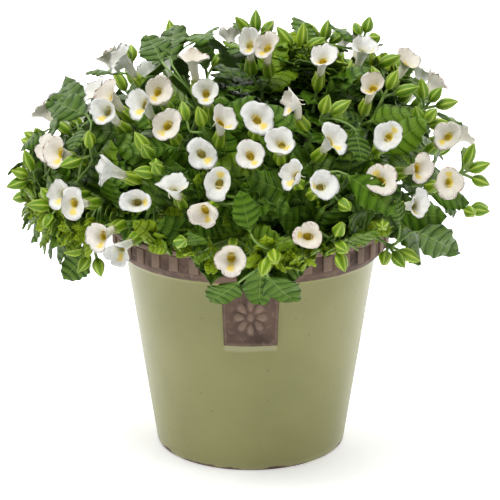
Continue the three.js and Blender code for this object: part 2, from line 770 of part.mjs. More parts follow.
const shoots = [...heads.map(bloomShoot), ...BUD_SHOOTS.map(budShoot)];
shoots.forEach((shoot, number) => {
  shoot.number = number;
  shoot.plant = plantAt(shoot.tip);
  shoot.branches = [];
  shoot.leaves = [];
  const earlier = shoots.slice(0, number).filter(({ plant }) => plant === shoot.plant);
  shoot.parent = findParent(shoot, earlier);
  layStem(shoot, earlier);
  if (shoot.parent) shoot.parent.other.branches.push(shoot);
});

// Leaves
function placeLeaf(shoot, pair, face, [swing, extra]) {
  const spec = shoot.pairs[pair];
  const { axis } = face;
  const open = (spec.opening + 14 * (draw(shoot.number, pair, face.k, 8) - 0.5) + extra) * DEGREE;
  const out = face.out.clone().applyAxisAngle(axis, swing * DEGREE);
  const dir = axis.clone().multiplyScalar(Math.cos(open)).addScaledVector(out, Math.sin(open));
  const light = domeNormal(face.spot).addScaledVector(axis, 0.5).addScaledVector(UP, 0.3);
  const normal = perpendicular(dir, light);
  const length = spec.length * (0.86 + 0.26 * draw(shoot.number, pair, face.k, 9));
  const side = normal.clone().cross(dir);
  return { ...face, root: face.spot, dir, normal, side, length, petiole: BLADE.petiole };
}

// A long leaf from this stem face. Its stalk is as long as its blade needs to reach its own place.
function placeLongLeaf(face, [bearing, rise, tipBearing, tipRise]) {
  const base = domePoint(bearing, rise);
  base.addScaledVector(domeNormal(base), -LONG_LEAF.depth);
  const tip = domePoint(tipBearing, tipRise);
  const length = tip.distanceTo(base);
  const light = domeNormal(tip.clone().lerp(base, 0.5)).addScaledVector(UP, 0.25);
  const straight = tip.clone().sub(face.spot).normalize();
  const arch = perpendicular(straight, light).multiplyScalar(BLADE.droop * length);
  const aim = tip.clone().add(arch).sub(face.spot);
  const dir = aim.clone().normalize();
  const normal = perpendicular(dir, light);
  const petiole = aim.length() - length;
  const leaf = { ...face, root: face.spot, dir, normal, side: normal.clone().cross(dir), length, petiole };
  return { ...leaf, miss: bladePoint(leaf, 0, 0).distanceTo(base) };
}

// A point on a blade, at a share of its length and of its half width, lifted from its middle.
function bladePoint(leaf, along, across, lift = 0) {
  const y = (across * leaf.length * BLADE.width) / 2;
  const z = -BLADE.droop * leaf.length * along * along - BLADE.sag * Math.abs(y);
  return leaf.root
    .clone()
    .addScaledVector(leaf.dir, leaf.petiole + along * leaf.length)
    .addScaledVector(leaf.side, y)
    .addScaledVector(leaf.normal, z + lift);
}

const PROBES = [0, 0.25, 0.5, 0.75, 1].flatMap((along) =>
  along === 0 || along === 1 ? [[along, 0]] : [-1, -0.5, 0, 0.5, 1].map((across) => [along, across]),
);

function leafIsClear(leaf) {
  return PROBES.every(([along, across]) => {
    const spot = bladePoint(leaf, along, across * Math.min(1, 1.5 - along));
    return roomOverPot(spot) > 2 && clearOfBlooms(spot, WHOLE_BLOOM);
  });
}

function leafStaysIn(plant, leaf) {
  return PROBES.every(([along, across]) => {
    return roomIn(plant, bladePoint(leaf, along, across * Math.min(1, 1.5 - along))) > 0;
  });
}

// A toothed blade on its stalk, thick at the midrib, with the same triangles on both faces.
function growLeaf(skin, patch, leaf) {
  const spot = (along, across, lift) => addLoop(skin, [bladePoint(leaf, along, across, lift)])[0];
  const tip = spot(1, 0);
  const ribs = [BLADE.rib, -BLADE.rib].map((lift) => BLADE_RIB.map((share) => spot(share, 0, lift)));
  const edges = [-1, 1].map((hand) =>
    [[0, BLADE.neck], ...BLADE_EDGE].map(([along, across]) => spot(along, hand * across)),
  );
  bridge(skin, patch, [ribs[0][0], edges[0][0], ribs[1][0], edges[1][0]]);
  ribs.forEach(([low, high], face) => {
    edges.forEach((edge, hand) => {
      const half = [
        [edge[0], low, edge[1]],
        [edge[1], low, high],
        [edge[1], high, edge[2]],
        [edge[2], high, edge[3]],
        [edge[3], high, edge[4]],
        [edge[4], high, tip],
      ];
      half.forEach(([a, b, c]) => skin.faces.push(face === hand ? [a, c, b] : [a, b, c]));
    });
  });
}

// Plants
function crosses(made, others) {
  const box = made.boundingBox();
  return others.some((other) => {
    const { min, max } = other.boundingBox();
    if ([0, 1, 2].some((k) => min[k] > box.max[k] || max[k] < box.min[k])) return false;
    return !made.intersect(other).isEmpty();
  });
}

// A loose copy of a stem with the calyces or buds at its tip.
function looseShoot(shoot) {
  const skin = newSkin();
  growShoot(skin, { ...shoot, leaves: [], branches: [] }, null);
  return solid(skin.points, skin.faces);
}

// A loose copy of a leaf, with a wider foot just clear of the stem face that it grows from.
function looseLeaf(leaf) {
  const skin = newSkin();
  const widen = (corner) => corner.clone().lerp(leaf.root, -0.2).addScaledVector(leaf.out, 0.3);
  const patch = addLoop(skin, leaf.corners.map(widen));
  cap(skin, [...patch].reverse());
  growLeaf(skin, patch, leaf);
  return solid(skin.points, skin.faces);
}

function freeFaces(shoot, below) {
  const taken = shoot.leaves.filter((leaf) => leaf.below === below).map(({ k }) => k);
  return nodeFaces(shoot, below).filter(({ k }) => !taken.includes(k));
}

// A leaf grows only where it is clear of petals, of its plant's bounds and of all that has grown.
function findLeaves(shoot, taken) {
  shoot.nodes.forEach((below, pair) => {
    const faces = freeFaces(shoot, below).filter(({ k }) => k % 2 !== pair % 2);
    faces.forEach((face) => {
      const swings = SWINGS.filter(([swing]) => pair > 0 || Math.abs(swing) < 20);
      const places = swings.map((swing) => placeLeaf(shoot, pair, face, swing));
      const fits = (place) => leafStaysIn(shoot.plant, place) && leafIsClear(place);
      const leaf = places.find((place) => fits(place) && !crosses(looseLeaf(place), taken));
      if (!leaf) return;
      shoot.leaves.push({ ...leaf, below });
      taken.push(looseLeaf(leaf));
    });
  });
}

// A long leaf takes the free stem face that it reaches its place from best, clear of all that has grown.
function findLongLeaf(place, taken) {
  const [shortest, longest] = LONG_LEAF.petioles;
  const faces = shoots.flatMap((shoot) =>
    shoot.nodes.slice(1).flatMap((below) => freeFaces(shoot, below).map((face) => ({ face, below, shoot }))),
  );
  const options = faces
    .map(({ face, below, shoot }) => ({ leaf: { ...placeLongLeaf(face, place), below }, shoot }))
    .filter(({ leaf }) => leaf.miss < LONG_LEAF.miss && leaf.petiole > shortest && leaf.petiole < longest)
    .filter(({ leaf }) => leaf.dir.dot(leaf.out) > LONG_LEAF.facing && leafIsClear(leaf))
    .sort((a, b) => a.leaf.miss - b.leaf.miss);
  return options.find(({ leaf }) => !crosses(looseLeaf(leaf), taken));
}

function growLongLeaf([bearing, rise, tipBearing, tipRise], taken) {
  for (const [turn, lift] of LONG_LEAF.shifts) {
    const place = [bearing + turn, rise + lift, tipBearing + turn, tipRise + lift];
    const found = findLongLeaf(place, taken);
    if (!found) continue;
    found.shoot.leaves.push(found.leaf);
    taken.push(looseLeaf(found.leaf));
    return;
  }
}

// Which opening each calyx or bud grows from: the stem's end, or a free face of the node below it.
function shareOpenings(shoot) {
  const parts = [...shoot.blooms, ...shoot.buds];
  const faces = nodeFaces(shoot, 0);
  const ways = [shoot.axis, faces[0].out.clone().add(shoot.axis), faces[2].out.clone().add(shoot.axis)];
  const orders = [[1, 2, 0], [2, 1, 0], [0, 1, 2], [0, 2, 1], [1, 0, 2], [2, 0, 1]];
  const allowed = shoot.blooms.length === 2 ? orders.slice(0, 2) : orders;
  const fit = (order) =>
    parts.reduce((sum, part, i) => {
      const way = (part.tube ? calyxFoot(part) : part.foot.clone()).sub(shoot.tip).normalize();
      return sum + way.dot(ways[order[i]].clone().normalize());
    }, 0);
  const best = allowed.reduce((a, b) => (fit(b) > fit(a) + 1e-9 ? b : a));
  return parts.map((part, i) => ({ part, opening: best[i] }));
}

// The stem, then what it bears, and then its branches. Faces that bear nothing are closed at the end.
function growShoot(skin, shoot, from) {
  const bare = (below) => below > 0 && !shoot.leaves.some((leaf) => leaf.below === below);
  const nodes = shoot.nodes.filter((below) => !bare(below));
  const unused = shoot.nodes.filter(bare).map((below) => below + STEM.node);
  if (shoot.branches.length > 0) nodes.push(shoot.fork);
  else unused.push(shoot.fork + STEM.node);
  const stations = shoot.stations.filter(({ below }) => !unused.includes(below)).reverse();
  const loops = stations.map((station) => addLoop(skin, squareRing(station)));
  if (from) bridge(skin, from, loops[0]);
  else cap(skin, [...loops[0]].reverse());
  const patches = new Map();
  for (let i = 0; i < loops.length - 1; i++) {
    const { below } = stations[i + 1];
    if (!nodes.includes(below)) {
      bridge(skin, loops[i], loops[i + 1]);
      continue;
    }
    const [low, high] = [loops[i], loops[i + 1]];
    low.forEach((_, k) => {
      const next = (k + 1) % 4;
      patches.set(`${below} ${k}`, [low[k], low[next], high[next], high[k]]);
    });
  }
  patches.set("end", loops.at(-1));
  const take = (name) => {
    const patch = patches.get(name);
    patches.delete(name);
    return patch;
  };
  shareOpenings(shoot).forEach(({ part, opening }) => {
    const patch = take(["end", "0 0", "0 2"][opening]);
    if (part.tube) growCalyx(skin, patch, part);
    else growBud(skin, patch, part);
  });
  shoot.leaves.forEach((leaf) => growLeaf(skin, take(`${leaf.below} ${leaf.k}`), leaf));
  shoot.branches.forEach((branch) => growShoot(skin, branch, take(`${shoot.fork} ${branch.parent.k}`)));
  patches.forEach((patch) => cap(skin, patch));
}

const shootsOf = (plant) => shoots.filter((shoot) => shoot.plant === plant);
const plants = Array.from({ length: RING_PLANTS + 1 }, (_, plant) => shootsOf(plant));
const grown = shoots.map(looseShoot);
LONG_LEAVES.forEach((place) => growLongLeaf(place, grown));
plants.flat().forEach((shoot) => findLeaves(shoot, grown));

function buildPlant(own, plant) {
  const root = rootPrism(plant, CROWN.rootRadius, SOIL.top - CROWN.rootDepth, SOIL.top + 6);
  const stems = own
    .filter((shoot) => !shoot.parent)
    .map((shoot) => {
      const skin = newSkin();
      growShoot(skin, shoot, null);
      return solid(skin.points, skin.faces);
    });
  return mainBody(joined([root, ...stems]));
}

const MATERIALS = {
  glaze: new THREE.MeshStandardMaterial({ color: 0x9a9a68, roughness: 0.35, metalness: 0 }),
  compost: new THREE.MeshStandardMaterial({ color: 0x3a2a1e, roughness: 0.95, metalness: 0 }),
  leaf: new THREE.MeshStandardMaterial({ color: 0x3c7a28, roughness: 0.55, metalness: 0 }),
  petal: new THREE.MeshStandardMaterial({ color: 0xf4f3ea, roughness: 0.6, metalness: 0 }),
};

// A named mesh from a finished solid.
function meshOf(name, made, material) {
  const { numProp, vertProperties, triVerts } = made.getMesh();
  const positions = new Float32Array((vertProperties.length / numProp) * 3);
  for (let i = 0; i < positions.length / 3; i++) {
    positions.set(vertProperties.subarray(i * numProp, i * numProp + 3), i * 3);
  }
  const geometry = new THREE.BufferGeometry();
  geometry.setAttribute("position", new THREE.BufferAttribute(positions, 3));
  geometry.setIndex(new THREE.BufferAttribute(new Uint32Array(triVerts), 1));
  const mesh = new THREE.Mesh(geometry, material);
  mesh.name = name;
  return mesh;
}

const flowerPot = new THREE.Group();
flowerPot.add(meshOf("pot", buildPot(), MATERIALS.glaze));
flowerPot.add(meshOf("compost", buildSoil(), MATERIALS.compost));
plants.forEach((own, plant) => {
  flowerPot.add(meshOf(`plant_${plant}`, buildPlant(own, plant), MATERIALS.leaf));
});
headSolids.forEach((made, i) => flowerPot.add(meshOf(`bloom_${i}`, made, MATERIALS.petal)));

export default flowerPot;
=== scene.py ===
import json
import math

import bmesh
import bpy
import numpy as np
from mathutils import Matrix, Vector, noise

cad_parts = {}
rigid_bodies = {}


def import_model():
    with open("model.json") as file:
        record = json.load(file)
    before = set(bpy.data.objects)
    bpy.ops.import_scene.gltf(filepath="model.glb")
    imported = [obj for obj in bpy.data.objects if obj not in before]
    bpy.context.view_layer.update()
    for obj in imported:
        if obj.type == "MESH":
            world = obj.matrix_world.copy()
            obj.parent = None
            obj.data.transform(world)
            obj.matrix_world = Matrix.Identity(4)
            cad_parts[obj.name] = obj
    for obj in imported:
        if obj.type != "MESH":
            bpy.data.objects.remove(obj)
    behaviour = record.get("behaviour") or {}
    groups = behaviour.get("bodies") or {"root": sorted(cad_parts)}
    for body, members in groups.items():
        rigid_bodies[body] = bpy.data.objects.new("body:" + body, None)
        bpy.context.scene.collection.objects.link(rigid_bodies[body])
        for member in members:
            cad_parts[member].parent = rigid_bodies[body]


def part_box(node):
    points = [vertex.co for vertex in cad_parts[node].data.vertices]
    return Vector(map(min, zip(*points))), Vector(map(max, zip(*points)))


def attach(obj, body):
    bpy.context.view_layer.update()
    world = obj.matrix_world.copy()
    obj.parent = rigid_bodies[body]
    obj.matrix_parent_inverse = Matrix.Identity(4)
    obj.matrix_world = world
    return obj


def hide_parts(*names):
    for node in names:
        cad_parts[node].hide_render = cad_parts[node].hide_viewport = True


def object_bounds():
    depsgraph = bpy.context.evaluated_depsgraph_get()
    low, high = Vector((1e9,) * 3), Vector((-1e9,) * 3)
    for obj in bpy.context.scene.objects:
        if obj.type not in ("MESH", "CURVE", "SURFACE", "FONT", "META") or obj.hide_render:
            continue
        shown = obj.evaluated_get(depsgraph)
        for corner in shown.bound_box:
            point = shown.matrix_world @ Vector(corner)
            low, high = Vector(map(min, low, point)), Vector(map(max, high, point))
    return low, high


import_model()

MM = 0.001
cad_low, cad_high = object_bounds()
LOW, HIGH = np.array(cad_low) / MM, np.array(cad_high) / MM

# The camera stands a little above the dome and looks down at the pot's front, through a long lens.
# Its place comes from the ellipses of the pot's rim and foot.
camera_data = bpy.data.cameras.new("camera")
camera_data.lens, camera_data.sensor_width = 111.3, 36
camera_data.shift_x = -0.0012
camera = bpy.data.objects.new("camera", camera_data)
camera.location = (0, -1.2, 0.4904)
camera.rotation_euler = (math.radians(74.55), 0, 0)
bpy.context.collection.objects.link(camera)
bpy.context.scene.camera = camera


# The pot is thrown red-brown clay. Its tapered wall is dipped in a sage glaze, and the flared rim
# band with its row of raised blocks stays bare. It is one fired piece that stands on its foot.
POT = {"foot": 77, "glaze_top": 158, "glaze_top_radius": 100, "band_low": 167, "band": 109,
       "lip_low": 181, "lip": 112.5, "height": 185, "wall": 8, "floor": 10}
DENTILS, DENTIL_SIZE = 40, (8, 4.2, 12)
SEAL = {"half_angle": 12.7, "low": 110, "proud": 1.4}
GLAZE, GLAZE_DEEP, GLAZE_THIN = (0.265, 0.257, 0.080), (0.225, 0.221, 0.060), (0.42, 0.39, 0.23)
CLAY, CLAY_DARK, CLAY_PALE = (0.165, 0.098, 0.068), (0.060, 0.034, 0.024), (0.36, 0.25, 0.18)


def glaze_radius(z):
    return POT["foot"] + (POT["glaze_top_radius"] - POT["foot"]) * z / POT["glaze_top"]


class Shade:
    """A socket of a material's nodes. Arithmetic on it adds the Math nodes that work it out."""

    def __init__(self, tree, socket=None):
        self.tree, self.socket = tree, socket

    def add(self, kind, settings=None, sockets=None, output=0):
        node = self.tree.nodes.new(kind)
        for key, value in (settings or {}).items():
            if key == "stops":
                ramp = node.color_ramp.elements
                while len(ramp) < len(value):
                    ramp.new(0.5)
                for stop, (place, colour) in zip(ramp, value):
                    stop.position, stop.color = place, (*colour, 1)
            else:
                setattr(node, key, value)
        for key, value in (sockets or {}).items():
            if isinstance(value, Shade):
                self.tree.links.new(value.socket, node.inputs[key])
            else:
                wide = isinstance(value, tuple) and len(node.inputs[key].default_value) == 4
                node.inputs[key].default_value = (*value, 1) if wide else value
        return Shade(self.tree, node.outputs[output])

    def math(self, operation, *others):
        return self.add("ShaderNodeMath", {"operation": operation}, dict(enumerate([self, *others])))

    def __add__(self, other): return self.math("ADD", other)
    def __mul__(self, other): return self.math("MULTIPLY", other)
    def __sub__(self, other): return self.math("SUBTRACT", other)
    def __truediv__(self, other): return self.math("DIVIDE", other)

    def __rsub__(self, other):
        return self.add("ShaderNodeMath", {"operation": "SUBTRACT"}, {0: other, 1: self})

    def step(self, low, high):
        """A smooth step, from 0 where this is at low to 1 where it is at high."""
        sockets = {"Value": self, "From Min": low, "From Max": high}
        return self.add("ShaderNodeMapRange", {"interpolation_type": "SMOOTHSTEP"}, sockets)

    def mix(self, a, b):
        """Colour a where this is 0 and colour b where it is 1."""
        return self.add("ShaderNodeMix", {"data_type": "RGBA"}, {0: self, 6: a, 7: b}, output=2)

    def spot(self):
        """The place on the object, in metres."""
        return self.add("ShaderNodeTexCoord", output=3)

    def attribute(self, name):
        """What the mesh says at each point: the vector "place" or the number "tone"."""
        outputs = {"place": 1, "tone": 2}
        return self.add("ShaderNodeAttribute", {"attribute_name": name}, output=outputs[name])

    def parts(self):
        return [self.add("ShaderNodeSeparateXYZ", None, {0: self}, output=k) for k in range(3)]

    def noise(self, where, scale, detail=3.0, rough=0.5):
        sockets = {"Vector": where, "Scale": scale, "Detail": detail, "Roughness": rough}
        return self.add("ShaderNodeTexNoise", None, sockets)

    def bump(self, height, strength, distance):
        sockets = {"Height": height, "Strength": strength, "Distance": distance}
        return self.add("ShaderNodeBump", None, sockets)


def new_material(name, fixed):
    """A material, its shader and a place to start expressions. Fixed values go on the shader's sockets."""
    material = bpy.data.materials.new(name)
    material.use_nodes = True
    shader = material.node_tree.nodes["Principled BSDF"]
    for key, value in fixed.items():
        shader.inputs[key].default_value = value
    start = Shade(material.node_tree)

    def feed(**links):
        for key, shade in links.items():
            material.node_tree.links.new(shade.socket, shader.inputs[key.replace("_", " ").title()])

    return material, start, feed


pot_material, nodes, feed = new_material("glazed_pot", {"IOR": 1.5, "Coat Roughness": 0.12})
spot = nodes.spot()
x, y, z = spot.parts()
cloud = nodes.noise(spot, 14.0, 4.0)
fine = nodes.noise(spot, 220.0, 3.0)
edge_wave = (nodes.noise(spot, 70.0, 2.0) - 0.5) * 0.003
glaze_line = POT["glaze_top"] * MM + 0.0022
side = y.math("MULTIPLY", -1.0)
tab = (x.math("ABSOLUTE") / side).step(0.2235, 0.2195) * side.step(0.02, 0.03)
tab = tab * (z + edge_wave * 0.4).step(SEAL["low"] * MM - 0.0012, SEAL["low"] * MM - 0.0002)
bare = (z + edge_wave * 0.5).step(glaze_line - 0.0006, glaze_line + 0.0006).math("MAXIMUM", tab)
foot_edge = (z + (nodes.noise(spot, 45.0, 4.0) - 0.5) * 0.013).step(0.0030, 0.0018)
bare = bare.math("MAXIMUM", foot_edge)
glaze = cloud.step(0.35, 0.7).mix(GLAZE, GLAZE_DEEP)
glaze = (z.step(0.008, 0.0) * 0.35).mix(glaze, GLAZE_THIN)
pooled = (z + edge_wave * 0.8).step(0.1030, 0.1055) * (z + edge_wave * 0.4).step(0.1105, 0.1085)
pooled = pooled * (x.math("ABSOLUTE") / side).step(0.235, 0.205) * side.step(0.02, 0.03)
glaze = (pooled * 0.55).mix(glaze, GLAZE_THIN)
speck = nodes.noise(spot, 420.0, 0.0).step(0.785, 0.81) * nodes.noise(spot, 60.0, 1.0).step(0.5, 0.62)
glaze = (speck * 0.6).mix(glaze, (0.10, 0.085, 0.04))
clay = nodes.noise(spot, 38.0, 5.0, 0.65).step(0.3, 0.72).mix(CLAY_DARK, CLAY)
clay = (fine.step(0.52, 0.78) * 0.35).mix(clay, CLAY_PALE)
radius = (x * x + y * y).math("SQRT")
# Painted highlight, partly wear: the raised relief on the seal and the dentils is painted paler than the clay
# around it.
raised_wear_and_highlight = (radius - (z * 0.14557 + 0.0784)).step(0.0004, 0.0012) * z.step(0.157, 0.155)
raised_wear_and_highlight = raised_wear_and_highlight.math("MAXIMUM", radius.step(0.1095, 0.1104) * z.step(0.165, 0.168))
clay = (raised_wear_and_highlight * 0.5).mix(clay, CLAY_PALE)
feed(
    base_color=bare.mix(glaze, clay),
    roughness=bare * 0.4 + 0.38,
    coat_weight=(1.0 - bare) * 0.25,
    normal=nodes.bump(bare * fine * 0.6 + cloud * 0.15, 0.35, 0.0012),
)


def finished(name, bm, *materials, scale=MM):
    """A mesh object from a bmesh in millimetres, with smooth faces that point outwards."""
    for face in bm.faces:
        face.smooth = True
    bmesh.ops.recalc_face_normals(bm, faces=bm.faces[:])
    bmesh.ops.scale(bm, vec=(scale,) * 3, verts=bm.verts[:])
    mesh = bpy.data.meshes.new(name)
    bm.to_mesh(mesh)
    bm.free()
    piece = bpy.data.objects.new(name, mesh)
    for material in materials:
        mesh.materials.append(material)
    bpy.context.collection.objects.link(piece)
    return piece


def turn_outline(bm, outline, steps):
    """Spins an outline of [radius, height] pairs about Z into a closed wall."""
    points = [bm.verts.new((radius, 0, height)) for radius, height in outline]
    edges = [bm.edges.new(pair) for pair in zip(points, points[1:])]
    bmesh.ops.spin(bm, geom=[*points, *edges], axis=(0, 0, 1), cent=(0, 0, 0), steps=steps,
                   angle=2 * math.pi, use_merge=True)
    bmesh.ops.remove_doubles(bm, verts=bm.verts[:], dist=0.01)


bm = bmesh.new()
turn_outline(bm, [
    (0, 0), (POT["foot"] - 1.5, 0), *[(glaze_radius(z), z) for z in (1.5, 8, 60, 110)],
    (POT["glaze_top_radius"], POT["glaze_top"]), (POT["band"] - 2, POT["band_low"] - 2),
    (POT["band"], POT["band_low"]), (POT["band"], POT["lip_low"]), (POT["lip"], POT["lip_low"]),
    (POT["lip"], POT["height"]), (POT["band"] - POT["wall"], POT["height"]),
    (POT["glaze_top_radius"] - POT["wall"], POT["glaze_top"]),
    (glaze_radius(POT["floor"]) - POT["wall"], POT["floor"]), (0, POT["floor"])], 120)
rims = [edge for edge in bm.edges if edge.calc_face_angle(0) > 0.35 and edge.verts[0].co.z > 100
        or edge.calc_face_angle(0) > 0.6 and edge.verts[0].co.z < 3]
bmesh.ops.bevel(bm, geom=rims, offset=0.9, segments=3, affect="EDGES", profile=0.5, material=-1,
                clamp_overlap=True)
pot = finished("pot_wall", bm, pot_material)

bm = bmesh.new()
for i in range(DENTILS):
    made = bmesh.ops.create_cube(bm, size=1)["verts"]
    reach = POT["band"] + 1.6 - DENTIL_SIZE[1] / 2
    bmesh.ops.scale(bm, vec=DENTIL_SIZE, verts=made)
    bmesh.ops.translate(bm, vec=(0, -reach, (POT["band_low"] + POT["lip_low"]) / 2), verts=made)
    turn = Matrix.Rotation((i + 0.5) / DENTILS * 2 * math.pi, 3, "Z")
    bmesh.ops.rotate(bm, cent=(0, 0, 0), matrix=turn, verts=made)
bmesh.ops.bevel(bm, geom=bm.edges[:], offset=0.8, segments=2, affect="EDGES", profile=0.5, material=-1)
dentils = finished("pot_dentils", bm, pot_material)

# The seal is a square tab of bare clay below the band, where the glaze was wiped off. A frame line
# and a plain rosette of eight petals stand up from it.
bm = bmesh.new()
bmesh.ops.create_grid(bm, x_segments=48, y_segments=48, size=1)
seal_middle = (SEAL["low"] + POT["glaze_top"] + 1) / 2
for vert in bm.verts:
    turn = math.radians(SEAL["half_angle"]) * vert.co.x
    height = seal_middle + vert.co.y * (POT["glaze_top"] + 1 - SEAL["low"]) / 2
    out = math.hypot(vert.co.x, vert.co.y) * 24
    petal = abs(math.cos(4 * math.atan2(vert.co.y, vert.co.x)))
    relief = 1.6 * petal ** 1.5 * max(0, 1 - abs(out - 9.5) / 6.5) + 1.6 * max(0, 1 - out / 4)
    frame_line = max(abs(vert.co.x), abs(vert.co.y))
    relief += 0.5 * (0.84 < frame_line < 0.93)
    reach = glaze_radius(min(height, POT["glaze_top"])) + SEAL["proud"] + relief
    reach -= 1.6 * (frame_line > 0.99)
    vert.co = (reach * math.sin(turn), -reach * math.cos(turn), height)
bmesh.ops.solidify(bm, geom=bm.faces[:], thickness=1.5)
seal = finished("pot_seal", bm, pot_material)
for piece in (pot, dentils, seal):
    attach(piece, "root")
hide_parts("pot")

# The compost is dark peat with crumbs, mounded a little towards the crown of the plants.
SOIL_TOP, SOIL_MOUND = 168, 4
soil_material, nodes, feed = new_material("compost", {"Roughness": 0.95})
spot = nodes.spot()
crumb = nodes.noise(spot, 260.0, 5.0, 0.7)
feed(
    base_color=crumb.step(0.35, 0.75).mix((0.012, 0.008, 0.005), (0.085, 0.052, 0.032)),
    normal=nodes.bump(crumb, 0.8, 0.003),
)
bm = bmesh.new()
inner = POT["glaze_top_radius"] - POT["wall"]
outline = [(glaze_radius(POT["floor"]) - 9.0, POT["floor"] + 0.5), (inner - 1, POT["glaze_top"]),
           (inner + 1.6, SOIL_TOP - SOIL_MOUND)]
outline += [(radius, SOIL_TOP - SOIL_MOUND * (radius / 94) ** 2) for radius in range(86, 0, -6)]
turn_outline(bm, [(0, POT["floor"] + 0.5), *outline, (0, SOIL_TOP)], 72)
for vert in bm.verts:
    if vert.co.z > SOIL_TOP - SOIL_MOUND - 1:
        vert.co.z += 1.6 * noise.noise(vert.co * 0.16) - 0.6
    vert.co.z = min(vert.co.z, SOIL_TOP + 0.8)
compost = finished("compost_top", bm, soil_material)
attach(compost, "root")
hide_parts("compost")


# The growth plan says where each bloom, shoot and leaf stands. It follows the CAD source step by step,
# so that what is drawn here grows where the solids are. The dome is two half ellipsoids.
DOME = {"radius": 190, "up": 133, "down": 78, "middle": 212}
CROWN_RING, RING_STEP, MIDDLE_PLANT = 56, 45, 8
UP = np.array([0.0, 0.0, 1.0])
# Each ring plant keeps between two planes and outside the middle plant's cone.
CONE, PLANT_GAP = {"low": 170, "radius": 30, "flare": 0.33}, 0.8
TUBE, CALYX_LENGTH, BLOOM_RADIUS, BUD_LENGTH, PEDICEL = 18, 15, 13.4, 20, 7
TUBE_RADIUS, CALYX_RADIUS = 6, 5.2
STEM_FOOT, BRANCH_FOOT, STEM_TIP, STEM_CROWD = 2.4, 1.8, 1.5, 5.76
# A shoot branches off one whose tip is nearer than this to its own, from a face that looks less than
# this many degrees away from it.
BRANCH_NEAR, BRANCH_TURN = 80, 72
LIMB = (1.02, 0.98, 0.78, 0.98, 0.94, 0.74, 0.92, 0.96, 0.74, 0.94, 0.98, 0.78)
# Each line is one head of 1 to 3 blooms: bearing and rise on the dome, bearing and rise that it
# faces, and its lip's turn.
FRONT_HEADS = [
    [(-62, 54, -65, 15, 20)],
    [(-48, 42, -55, 25, 0), (-43, 36, -20, 12, 20), (-57, 43, -70, 40, 0)],
    [(-33, 41, -35, 10, 20), (-29, 47, 10, 20, 30)],
    [(-26, 60, 0, 85, 0)], [(-14, 47, 0, 30, 0)], [(-22, 35, -5, 12, 35)], [(-7, 38, 40, 40, -20)],
    [(-1, 69, -10, 35, 0), (11, 65, -20, 20, 30)],
    [(-11, 27, 15, 8, -40)], [(0, 27, 3, 15, -30)], [(-7, 19, -5, 20, 190)], [(-17, 18, 0, 68, -60)],
    [(-35, 20, -75, 12, 10)],
    [(-58, 22, -40, 25, -30), (-49, 21, -30, 8, 0)],
    [(-47, 10, -30, 8, 20), (-42, 8, -5, 0, 0)],
    [(-25, 12, 0, 18, 270)], [(-10, 10, -15, -15, -20)],
    [(-34, 0, -30, 10, 0), (-29, -8, -15, -20, 0)],
    [(-4, -6, 0, 3, 0)], [(34, 60, 0, 50, 40)], [(69, 61, 15, 62, -40)], [(43, 47, -10, 42, 30)],
    [(87, 50, 30, 55, 0)], [(11, 43, -78, 8, 20)], [(2, 38, 10, 15, -40)], [(7, 31, -15, 35, -60)],
    [(21, 31, 45, 30, -20)], [(36, 30, -10, 20, 215)], [(57, 26, -20, 12, 40)], [(42, 19, 25, 5, 10)],
    [(50, 13, -15, 15, 180)], [(30, 18, -10, 30, 140)], [(39, 9, 35, 25, 35)], [(16, 18, 20, 32, 90)],
    [(9, 21, -45, 15, 20)], [(12, 3, 0, 10, 100)],
]
BACK_PAIRS = [(110, 14), (106, 38), (132, 54), (134, 26), (153, 6), (160, 38), (182, 20), (186, 54),
              (206, 4), (212, 34), (234, 16), (240, 46), (258, 26)]
BUD_SHOOTS = [(-26, 27), (-14, 39), (58, 48), (78, 38), (23, 43), (5, -8), (20, -5), (37, -20),
              (-49, -30), (-50, 15), (74, 11), (49, 74), (-78, 21), (-79, 58), (120, 4), (145, 44),
              (166, 22), (196, 38), (222, 50), (220, 2), (250, 4), (110, 70), (175, 75), (250, 69)]
BLOOM_PAIRS = [(0, 37, 50), (24, 42, 64)]
BUD_PAIRS = [(0, 33, 64), (22, 40, 66)]


DRAW_WEIGHTS = (12.9898, 78.233, 37.719, 4.581)


def draw(*keys):
    """A number from 0 to 1 that looks random, and is the same for the same keys."""
    mixed = math.sin(1.7 + sum(key * w for key, w in zip(keys, DRAW_WEIGHTS))) * 43758.5453
    return mixed - math.floor(mixed)


def unit(v):
    return v / np.linalg.norm(v)


def perpendicular(direction, towards):
    across = towards - np.dot(towards, direction) * direction
    if np.linalg.norm(across) < 1e-6:
        return perpendicular(direction, np.array([0.3, 1, 0.2]))
    return unit(across)


def turned(v, axis, angle):
    turn, lift = math.cos(angle), math.sin(angle)
    return v * turn + np.cross(axis, v) * lift + axis * np.dot(axis, v) * (1 - turn)


def heading(bearing, rise):
    b, r = math.radians(bearing), math.radians(rise)
    return np.array([math.sin(b) * math.cos(r), -math.cos(b) * math.cos(r), math.sin(r)])


def dome_point(bearing, rise, reach=1.0):
    high = DOME["down"] if rise < 0 else DOME["up"]
    return heading(bearing, rise) * (DOME["radius"], DOME["radius"], high) * reach + (0, 0, DOME["middle"])


def dome_normal(point):
    high = DOME["up"] if point[2] >= DOME["middle"] else DOME["down"]
    away = point - (0, 0, DOME["middle"])
    return unit(away / (DOME["radius"] ** 2, DOME["radius"] ** 2, high ** 2))


def crown_foot(plant):
    turn = math.radians(plant * RING_STEP)
    ring = 0 if plant == MIDDLE_PLANT else CROWN_RING
    return np.array([ring * math.sin(turn), -ring * math.cos(turn), SOIL_TOP])


def cone_radius(z):
    return CONE["radius"] + CONE["flare"] * (z - CONE["low"])


